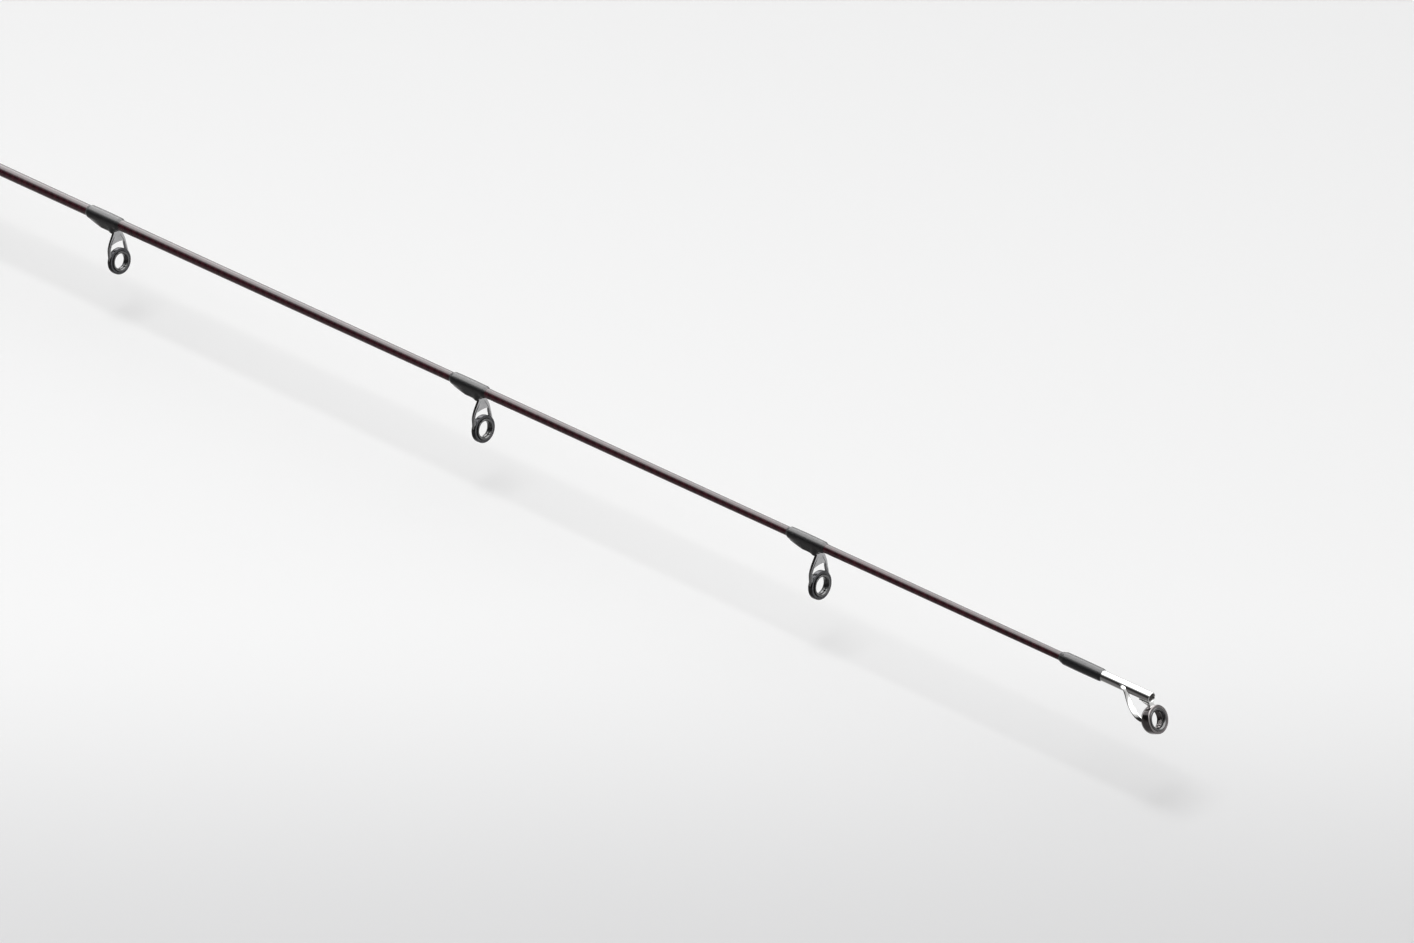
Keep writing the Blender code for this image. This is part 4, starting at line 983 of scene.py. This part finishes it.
def tip_top():
    """Drawn tube, two leaf legs, bridge and ring holder, brazed and chromed."""
    seat = tip_ring_size / 2 + film
    front = tip_ring_width / 2 - 0.15 * MM
    back = front - tip_bezel_depth
    bezel = [(front, seat), (front, bezel_radius), (-1.5 * MM, bezel_radius),
             (back, bezel_radius - 0.45 * MM), (back, seat - 0.45 * MM),
             (-0.95 * MM, seat - 0.1 * MM)]
    ring_place = (tip, rod_length - tip_ring_setback, -tip_ring_drop, tip_ring_tilt)
    dress(revolve(bezel, mm(0, 0.22, 0.5, 0.2, 0.2, 0.1)), "bezel",
          "tip_top_frame", *ring_place, "tip_bezel_fine")
    inside = tube_radius - 0.22 * MM
    face = -tip_tube_recess + 0.03 * MM
    plug = revolve([(face, 0.0), (face, inside), (-0.9 * MM, inside), (-0.9 * MM, 0.0)],
                   mm(0, 0.1, 0, 0), 3, 48, False)
    dress(plug, "plug", "tip_top_frame", tip, tip_end, name="tip_plug_fine")
    tube = revolve([(-tip_tube_recess, 0.0), (-tip_tube_recess, inside), (0.0, inside),
                    (0.0, tube_radius), (-tip_tube_length, tube_radius),
                    (-tip_tube_length, tube_bore), (-1.4 * MM, tube_bore), (-1.4 * MM, 0.0)],
                   mm(0, 0.12, 0.13, 0.13, 0.13, 0.13, 0, 0), 4, 48, False)
    dress(joined(tube, tip_leg(1), tip_leg(-1), tip_bridge()), "tip", "tip_top_frame", tip,
          tip_end, name="tip_top_fine")
    dress(ring_mesh(tip_ring_size / 2, ring_wall, tip_ring_width), "ring", "tip_top_ring",
          *ring_place)

    tube_start = tip_end - tip_tube_length
    wrap_end = tube_start + tip_tube_overlap
    rows = []
    for along in spaced(tip_wrap_length, 40):
        x = wrap_end - tip_wrap_length + along
        share = smooth((x - tube_start + 0.8 * MM) / (0.9 * MM))
        under = tip_radius(x) + (tube_radius - tip_radius(x)) * share
        coat = epoxy(along, tip_wrap_length) - 0.1 * MM * smooth(along / (2.0 * MM))
        rows.append((x - wrap_end, under + film + coat))
    closing = [(0.0, tube_radius - 0.05 * MM), (-tip_wrap_length, tip_radius(tube_start) * 0.97)]
    dress(lathe(rows + closing, 48, True), "wrap", "tip_top_wrap", tip, wrap_end)


# Blanks and ferrule

def blanks():
    start = butt_section_length + section_gap
    end = tip_end - tip_tube_length - thread_gap
    spigot, spigot_end = tip_spigot_diameter / 2, tip_end - spigot_setback - start
    outer = [(spigot_end, spigot), (end - start, spigot)]
    for k in range(41):
        x = end + (start - end) * k / 40
        outer.append((x - start, tip_radius(x)))
    inner = [(0.0, tip_radius(start) - tip_wall), (end - start, spigot - tip_wall),
             (spigot_end, spigot - tip_wall)]
    dress(lathe(outer + inner, 48, True), "blank", "tip_blank", tip, start)

    length = butt_section_length - butt_blank_start
    front, back = butt_radius(butt_section_length), butt_radius(butt_blank_start)
    tube = revolve([(length, front), (0.0, back), (0.0, back - butt_wall),
                    (length, front - butt_wall)], 0.4 * MM, sides=56)
    dress(tube, "blank", "butt_blank", butt, butt_blank_start)


def ferrule():
    """Sleeve on the tip section, and the thread round its mouth."""
    mouth = butt_section_length - socket_depth
    joint = butt_section_length + section_gap / 2
    end = joint + sleeve_grip
    bore_mouth, bore_joint = butt_radius(mouth) + seat_gap, butt_radius(joint) + seat_gap
    bore_end = tip_radius(end) + 0.03 * MM
    outside = bore_mouth + sleeve_wall
    profile = [(end, bore_end), (end, bore_end + 0.12 * MM),
               (end - 6.0 * MM, bore_joint + sleeve_wall), (joint, bore_joint + sleeve_wall),
               (mouth, outside), (mouth, bore_mouth), (joint, bore_joint)]
    tube = revolve([(x - mouth, r) for x, r in profile],
                   mm(0.05, 0.5, 3, 1, 0.25, 0.2, 1), sides=56)
    dress(tube, "blank", "ferrule_sleeve", tip, mouth)
    length = ferrule_wrap_length
    rows = [(along, outside + epoxy(along, length)) for along in spaced(length, 30)]
    closing = [(length, outside - 0.05 * MM), (0.0, outside - 0.05 * MM)]
    dress(lathe(rows + closing, 56, True), "wrap", "ferrule_wrap", tip, mouth + 1.0 * MM)


# Handle

def sleeve(node, outer, corners, kind):
    """Handle part with an eased outside and a bore on the blank; outer is (x, radius)."""
    outer = sorted(outer)
    start, end = outer[0][0], outer[-1][0]
    bore = [(x, butt_radius(x) + bore_slip) for x in (end, start)]
    profile = [(x - start, r) for x, r in outer + bore]
    dress(revolve(profile, corners + [0, 0], 6), kind, node, butt, start)


def grip(node, start, length, outer, corners, kind="foam"):
    """Sleeve from (share of its length, radius); gives the place of what follows it."""
    sleeve(node, [(start + share * length, radius) for share, radius in outer], corners, kind)
    return start + length + seat_gap


def winding_check(node, near, grip_radius, facing):
    far = near + facing * check_length
    radius = grip_radius - edge_break
    outer = [(near, radius), (near + facing * 0.45 * check_length, radius),
             (far, butt_radius(far) + seat_gap + check_lip)]
    sleeve(node, outer, mm(0.35, 1.2, 0.5)[::facing], "trim")


def handle():
    """Everything glued on the butt except the seat; gives the seat's place."""
    radius = butt_cap_radius
    bore = butt_radius(0.0) + bore_slip
    outline = [(3.0 * MM, 0.0), (3.0 * MM, bore), (butt_cap_length, bore),
               (butt_cap_length, radius), (1.4 * MM, radius), (0.0, radius - 1.6 * MM),
               (0.0, 3.2 * MM), (0.9 * MM, 2.6 * MM), (0.9 * MM, 0.0)]
    corners = mm(0, 0, 0.2, 0.5, 2.0, 1.6, 0.3, 0.3, 0)
    cap = []
    for x, r in rounded(outline, corners, 6):
        cap.append((x, r))
        if abs(r - radius) < 1e-9 and x > cap_grooves[0]:
            for groove in cap_grooves:
                for k in range(9):
                    t = pi * k / 8
                    cap.append((groove + groove_half * cos(t), r - groove_depth * sin(t)))
    dress(lathe(cap, 80), "cap", "butt_cap", butt)

    start = grip("butt_trim_ring", butt_cap_length + seat_gap, trim_ring_length,
                 [(0, trim_ring_radius), (1, trim_ring_radius)], mm(0.4, 0.4), "trim")
    start = grip("butt_grip", start, butt_grip_length,
                 [(0, butt_grip_radius), (0.3, butt_grip_radius), (0.6, butt_grip_waist),
                  (0.8, butt_grip_waist), (1, butt_grip_front)],
                 [grip_edge, *mm(25, 25, 18), grip_edge])
    winding_check("butt_grip_check", start, butt_grip_front, 1)
    winding_check("rear_grip_check", rear_grip_start - seat_gap, rear_grip_tail, -1)
    seat_start = grip("rear_grip", rear_grip_start, rear_grip_length,
                      [(0, rear_grip_tail + 0.4 * MM),
                       (0.4, 0.3 * rear_grip_tail + 0.7 * seat_radius), (0.8, seat_radius),
                       (1, seat_radius)], [grip_edge, *mm(15, 15), grip_edge])
    start = grip("fore_grip", seat_start + seat_length + seat_gap, fore_grip_length,
                 [(0, seat_radius), (0.25, seat_radius),
                  (0.6, (seat_radius + fore_grip_front) / 2), (1, fore_grip_front + 0.3 * MM)],
                 [grip_edge, *mm(12, 12), grip_edge])
    winding_check("fore_grip_check", start, fore_grip_front, 1)
    return seat_start


# Reel seat

def bulge(radius, chord):
    """Arc of a hood's section below a chord, as (y, z)."""
    half = acos((chord - hood_centre) / radius)
    arc = [-half + 2 * half * k / 32 for k in range(33)]
    return [(radius * sin(a), -hood_centre - radius * cos(a)) for a in arc]


def threaded_barrel():
    """Barrel with a rolled thread that fades at both ends and is cut off at the deck's height."""
    bore = [(seat_bore * sin(angle), seat_bore * cos(angle)) for angle in angles(seat_sides)]
    rows = [[(0.0, y, z) for y, z in bore]]
    steps = int(barrel_length / thread_pitch * 12)
    for k in range(steps + 1):
        along = barrel_end * k / steps
        fade = smooth((along - 0.6 * MM) / (2.0 * MM)) \
            * smooth((barrel_end - along - 0.6 * MM) / (2.5 * MM))
        ease = 0.5 * MM * (1 - smooth(along / (0.8 * MM)))
        row = []
        for angle in angles(seat_sides):
            phase = (along / thread_pitch - angle / (2 * pi)) % 1.0
            ridge = smooth(1.0 - abs(2 * phase - 1.0) * 1.25)
            r = barrel_radius - ease - thread_depth * fade * (1 - ridge)
            row.append((along, r * sin(angle), max(r * cos(angle), -deck_depth)))
        rows.append(row)
    rows.append([(barrel_end, y, z) for y, z in bore])
    return skin(rows, closed=True, sharp=50.0)


def reel_seat(start):
    """Threaded barrel, and the swelled front with its deck, hood and pocket."""
    origin = barrel_end - 0.5 * MM
    outer = [(seat_length, 0.0), (seat_length, seat_radius),
             (barrel_length + 8.0 * MM, seat_radius),
             (barrel_length + 2.5 * MM, seat_radius - 1.4 * MM),
             (barrel_length, barrel_radius), (origin, barrel_radius), (origin, 0.0)]
    front = revolve(outer, mm(0, 0.7, 6, 2, 1, 0, 0), 6, seat_sides, False)
    hood_end = seat_length - 2.0 * MM
    mouth = hood_end - fixed_hood_length
    swell = revolve([(hood_end, 0.0), (hood_end, hood_radius - 3.4 * MM),
                     (hood_end - 2.0 * MM, hood_radius - 1.2 * MM),
                     (hood_end - 5.0 * MM, hood_radius), (mouth, hood_radius), (mouth, 0.0)],
                    mm(0, 1.2, 2.5, 3, 0, 0), 6, seat_sides, False)
    bore = lathe([(seat_length + MM, 0.0), (seat_length + MM, seat_bore), (-MM, seat_bore),
                  (-MM, 0.0)], seat_sides)
    far = 30.0 * MM
    deck = prism([(-far, -deck_depth), (-far, -far), (far, -far), (far, -deck_depth)], -MM, mouth)
    pocket = prism(bulge(hood_radius - hood_wall, deck_depth), mouth - MM,
                   mouth + fixed_pocket_depth)
    front = carve(front, swell, [bore, deck, pocket], 0.35 * MM)
    dress(joined(threaded_barrel(), front), "seat", "reel_seat_body", butt, start,
          name="reel_seat_fine")


def moving_hood(rear):
    """Steel hood keyed to the barrel's flat, and its liner."""
    base = revolve([(hood_length, 0.0), (hood_length, hood_ring_radius), (0.0, hood_ring_radius),
                    (0.0, 0.0)], mm(0, 0.4, 0.5, 0), 4, seat_sides, False)
    swell = revolve([(hood_length, 0.0), (hood_length, hood_radius), (7.0 * MM, hood_radius),
                     (3.0 * MM, hood_radius - 1.4 * MM), (1.0 * MM, hood_radius - 3.6 * MM),
                     (1.0 * MM, 0.0)], mm(0, 0, 5, 2.5, 1, 0), 6, seat_sides, False)
    inside = barrel_radius + 0.2 * MM
    half = acos((deck_depth + 0.2 * MM) / inside)
    turns = [half + (2 * pi - 2 * half) * k / 72 for k in range(73)]
    keyed = prism([(inside * sin(a), -inside * cos(a)) for a in turns], -MM, hood_length + MM)
    pocket = prism(bulge(hood_radius - hood_wall, 0.8 * deck_depth),
                   hood_length - hood_pocket_depth, hood_length + MM)
    dress(carve(base, swell, [keyed, pocket], 0.3 * MM), "hood", "sliding_hood", hood_body, rear)

    outside = hood_radius - hood_wall - 0.05 * MM
    loop = bulge(outside, deck_depth + 0.5 * MM)
    loop += reversed(bulge(outside - liner_thickness - 0.1 * MM, deck_depth + 0.5 * MM))
    liner = prism(loop, hood_length - hood_pocket_depth + seat_gap, hood_length - 0.4 * MM)
    dress(liner, "liner", "hood_liner", hood_body, rear)


def lock_nut(start):
    """Fluted nut with a step on its front."""
    def fluted(along, angle, radius):
        if radius < nut_radius - 0.9 * MM:
            return radius
        hold = smooth((along - 0.8 * MM) / (1.2 * MM)) \
            * smooth((nut_length - 1.8 * MM - along) / (1.2 * MM))
        valley = (0.5 - 0.5 * cos(nut_flutes * angle)) ** 1.6
        return radius - nut_flute * hold * valley

    inside = barrel_radius - 0.1 * MM
    rim = nut_radius - 1.1 * MM
    corners = [(nut_length, inside), (nut_length, rim), (nut_length - 1.4 * MM, rim),
               (nut_length - 2.2 * MM, nut_radius), (0.0, nut_radius), (0.0, inside)]
    eased = rounded(corners, mm(0.3, 0.3, 0.3, 0.6, 1.1, 0.3), 5, True)
    profile = []
    for here, after in zip(eased, eased[1:] + eased[:1]):
        # The long outer face is divided so that the flutes can run out
        parts = 12 if abs(here[0] - after[0]) > 4 * MM and here[1] > rim else 1
        for j in range(parts):
            t = j / parts
            profile.append(tuple(a * (1 - t) + b * t for a, b in zip(here, after)))
    dress(lathe(profile, 144, True, fluted), "seat", "lock_nut", nut_body, start)


def swept_wire(path, radius):
    """Round wire along a path in the XZ plane."""
    rows = []
    for k, (x, z) in enumerate(path):
        along, up = heading_at(path, k)
        row = []
        for angle in angles(16):
            out = radius * cos(angle)
            row.append((x - up * out, radius * sin(angle), z + along * out))
        rows.append(row)
    return skin(rows, caps=True, sharp=60.0)


def hook_keeper():
    """Bent wire and a wrap over each of its feet."""
    radius = keeper_wire / 2
    seat = butt_radius(keeper_x) + thread_gap + radius
    half = keeper_span / 2
    inner = half + keeper_bend
    outer = inner + keeper_foot
    corners = [(outer, 0.0), (half + 0.2 * MM, 0.0), (half, keeper_rise)]
    path = rounded([(x, -seat - rise) for x, rise in corners + mirrored(corners)],
                   [0] + [keeper_bend * 1.15] * 4 + [0], 10)
    dress(swept_wire(path, radius), "keeper", "hook_keeper", butt, keeper_x)
    for node, facing in (("hook_keeper_rear_wrap", -1), ("hook_keeper_front_wrap", 1)):
        rows = []
        length = outer + 3.0 * MM - inner
        for along in spaced(length, 30):
            x = facing * (inner + 0.2 * MM + along * 0.98)
            pad = epoxy(along, length)
            main = butt_radius(keeper_x + x) + film + pad
            share = 1 - smooth((inner + along - outer) / (2.0 * MM))
            bare = main - pad - radius
            depth = bare + (seat - bare) * share
            rows.append(hull_section(x, [(0.0, 0.0, main), (0.0, -depth, radius + pad)]))
        dress(wound(rows, butt_radius(keeper_x)), "wrap", node, butt, keeper_x)


blanks()
ferrule()
seat_start = handle()
hood_place = seat_start + hood_start
reel_seat(seat_start)
moving_hood(hood_place)
lock_nut(hood_place - seat_gap - nut_length)
hook_keeper()
first_x = rod_length - tip_to_first_guide
last_x = butt_section_length + section_gap / 2 + sleeve_grip + sleeve_to_last_guide
guide_x = first_x
for number, sizes in enumerate(guide_sizes):
    single_foot_guide(number + 1, guide_x, *sizes)
    if number < len(guide_steps):
        guide_x -= (first_x - last_x) * guide_steps[number] / sum(guide_steps)
stripper_guide(butt_section_length - socket_depth - stripper_to_sleeve)
tip_top()
for node in ("seat_arbor_rear", "seat_arbor_front"):
    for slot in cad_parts[node].material_slots:
        slot.material = packing


# Camera, from the fit to the photograph
azimuth, elevation = radians(42.17), radians(30.19)
camera_distance = 1.337
toward = Vector((sin(azimuth) * cos(elevation), -cos(azimuth) * cos(elevation), sin(elevation)))
aim = Vector((1.95883, 0.0, 0.00632))
camera = linked("camera", bpy.data.cameras.new("camera"))
camera.data.lens = 140.0
camera.data.sensor_width = 36.0
camera.data.clip_start = 0.02
camera.data.clip_end = 200.0
camera.location = aim + toward * camera_distance
camera.rotation_euler = (-toward).to_track_quat("-Z", "Y").to_euler()
scene.camera = camera

# Studio, in metres
floor_height = -0.0302
floor_reach = 60.0
floor_light = (0.97, 0.97, 0.97)
floor_shade_painted = (0.74, 0.74, 0.745)     # painted shade, in a soft patch between the aim and the camera
painted_shade_to = 0.17
painted_shade_end = 0.25
painted_shade_wide = 0.22
painted_shade_fade = 1.1
# Painted reflection: the floor colour that gloss alone sees in front of the rod, which darkens
# reflections on round parts
painted_reflection_near = 0.8                   # share of the painted dark reflection in front that gloss sees beside the rod
painted_reflection_reach = 0.25
painted_reflection_seam = 0.012
painted_reflection_dark = (0.035, 0.03, 0.03)
world_level = 0.66
world_shade = 0.03                  # of the room below the near side, which stays dark
backdrop = 0.9
room_edge = (-58.0, -40.0)          # degrees about X from straight up, over which light sets in
band_from, band_to = (-38.0, -14.0), (48.0, 72.0)
band_ends = (0.7, 0.88)
band_level = 3.5
lamp_power = 10.0
lamp_size = 0.8
lamp_distance = 1.6
lamp_tilt = radians(17.0)


def studio_floor():
    """Pale floor with a soft patch of painted shade; in front of the rod gloss sees it painted
    dark, a painted reflection on round parts.
    """
    mesh = bpy.data.meshes.new("floor")
    mesh.from_pydata([(x * floor_reach, y * floor_reach, floor_height)
                      for x, y in ((-1, -1), (1, -1), (1, 1), (-1, 1))], [], [(0, 1, 2, 3)])
    look = Look("studio_floor", (0.9, 0.9, 0.9), 0.9, specular_ior_level=0.1)
    x, y, _ = look.axes(look.place)
    side = Vector((toward.x, toward.y)).normalized()
    past = look.math("SUBTRACT", x, aim.x)
    near = look.plus(look.times(past, side.x), look.times(y, side.y))
    across = look.plus(look.times(past, -side.y), look.times(y, side.x))
    # Painted shade: the floor colour darkens in a soft patch near the aim, on the camera's side
    shade = look.between(near, 0.0, painted_shade_to)
    for value, reach in ((near, painted_shade_end), (look.math("ABSOLUTE", across), painted_shade_wide)):
        shade = look.times(shade, look.between(look.times(value, -1.0), -painted_shade_fade, -reach))
    # Painted reflection: gloss rays see the floor in a painted dark colour in front of the rod
    front = look.times(y, -1.0)
    share = look.plus(look.times(look.between(front, 0.0, painted_reflection_reach), 1.0 - painted_reflection_near),
                      painted_reflection_near)
    glossy = look.node("ShaderNodeLightPath").outputs["Is Glossy Ray"]
    mixed = look.node("ShaderNodeMix", data_type="RGBA")
    look.link(look.times(glossy, look.times(share, look.between(front, -painted_reflection_seam,
                                                                painted_reflection_seam))),
              mixed.inputs[0])
    look.link(look.ramp(shade, 0.0, 1.0, floor_light, floor_shade_painted), mixed.inputs[6])
    mixed.inputs[7].default_value = (*painted_reflection_dark, 1.0)
    look.colour(mixed.outputs[2])
    mesh.materials.append(look.material)
    linked("floor", mesh)


def studio_light():
    """Pale room, a long softbox that only gloss sees, and a lamp over the near side."""
    world = bpy.data.worlds.new("studio")
    scene.world = world
    world.use_nodes = True
    world.node_tree.nodes.clear()
    sky = Wiring(world.node_tree)
    x, y, z = sky.axes(sky.node("ShaderNodeTexCoord").outputs["Generated"])
    turn = sky.math("ARCTAN2", y, z)
    lit = sky.between(turn, *map(radians, room_edge))
    rays = sky.node("ShaderNodeLightPath")
    # The long softbox over the far side, which gloss shows as a band along each round part
    band = sky.between(turn, *map(radians, band_from))
    for past in (sky.between(turn, *map(radians, band_to)),
                 sky.between(sky.math("ABSOLUTE", x), *band_ends)):
        band = sky.times(band, sky.math("SUBTRACT", 1.0, past))
    band = sky.times(band, rays.outputs["Is Glossy Ray"])
    level = sky.plus(sky.plus(sky.times(lit, world_level), world_shade),
                     sky.times(band, band_level))
    mixed = sky.node("ShaderNodeMix", data_type="FLOAT")
    sky.link(rays.outputs["Is Camera Ray"], mixed.inputs[0])
    sky.link(level, mixed.inputs[2])
    mixed.inputs[3].default_value = backdrop
    background = sky.node("ShaderNodeBackground")
    background.inputs["Color"].default_value = (1.0, 1.0, 1.0, 1.0)
    sky.link(mixed.outputs[0], background.inputs["Strength"])
    sky.link(background.outputs[0], sky.node("ShaderNodeOutputWorld").inputs[0])

    lamp = bpy.data.lights.new("softbox", "AREA")
    lamp.shape = "SQUARE"
    lamp.size = lamp_size
    lamp.energy = lamp_power
    box = linked("softbox", lamp)
    away = Vector((0.0, -sin(lamp_tilt), cos(lamp_tilt)))
    box.location = Vector((1.9, 0.0, 0.0)) + away * lamp_distance
    box.rotation_euler = (-away).to_track_quat("-Z", "Y").to_euler()
    box.visible_glossy = False


studio_floor()
studio_light()
scene.view_settings.view_transform = "Standard"
bpy.context.view_layer.update()
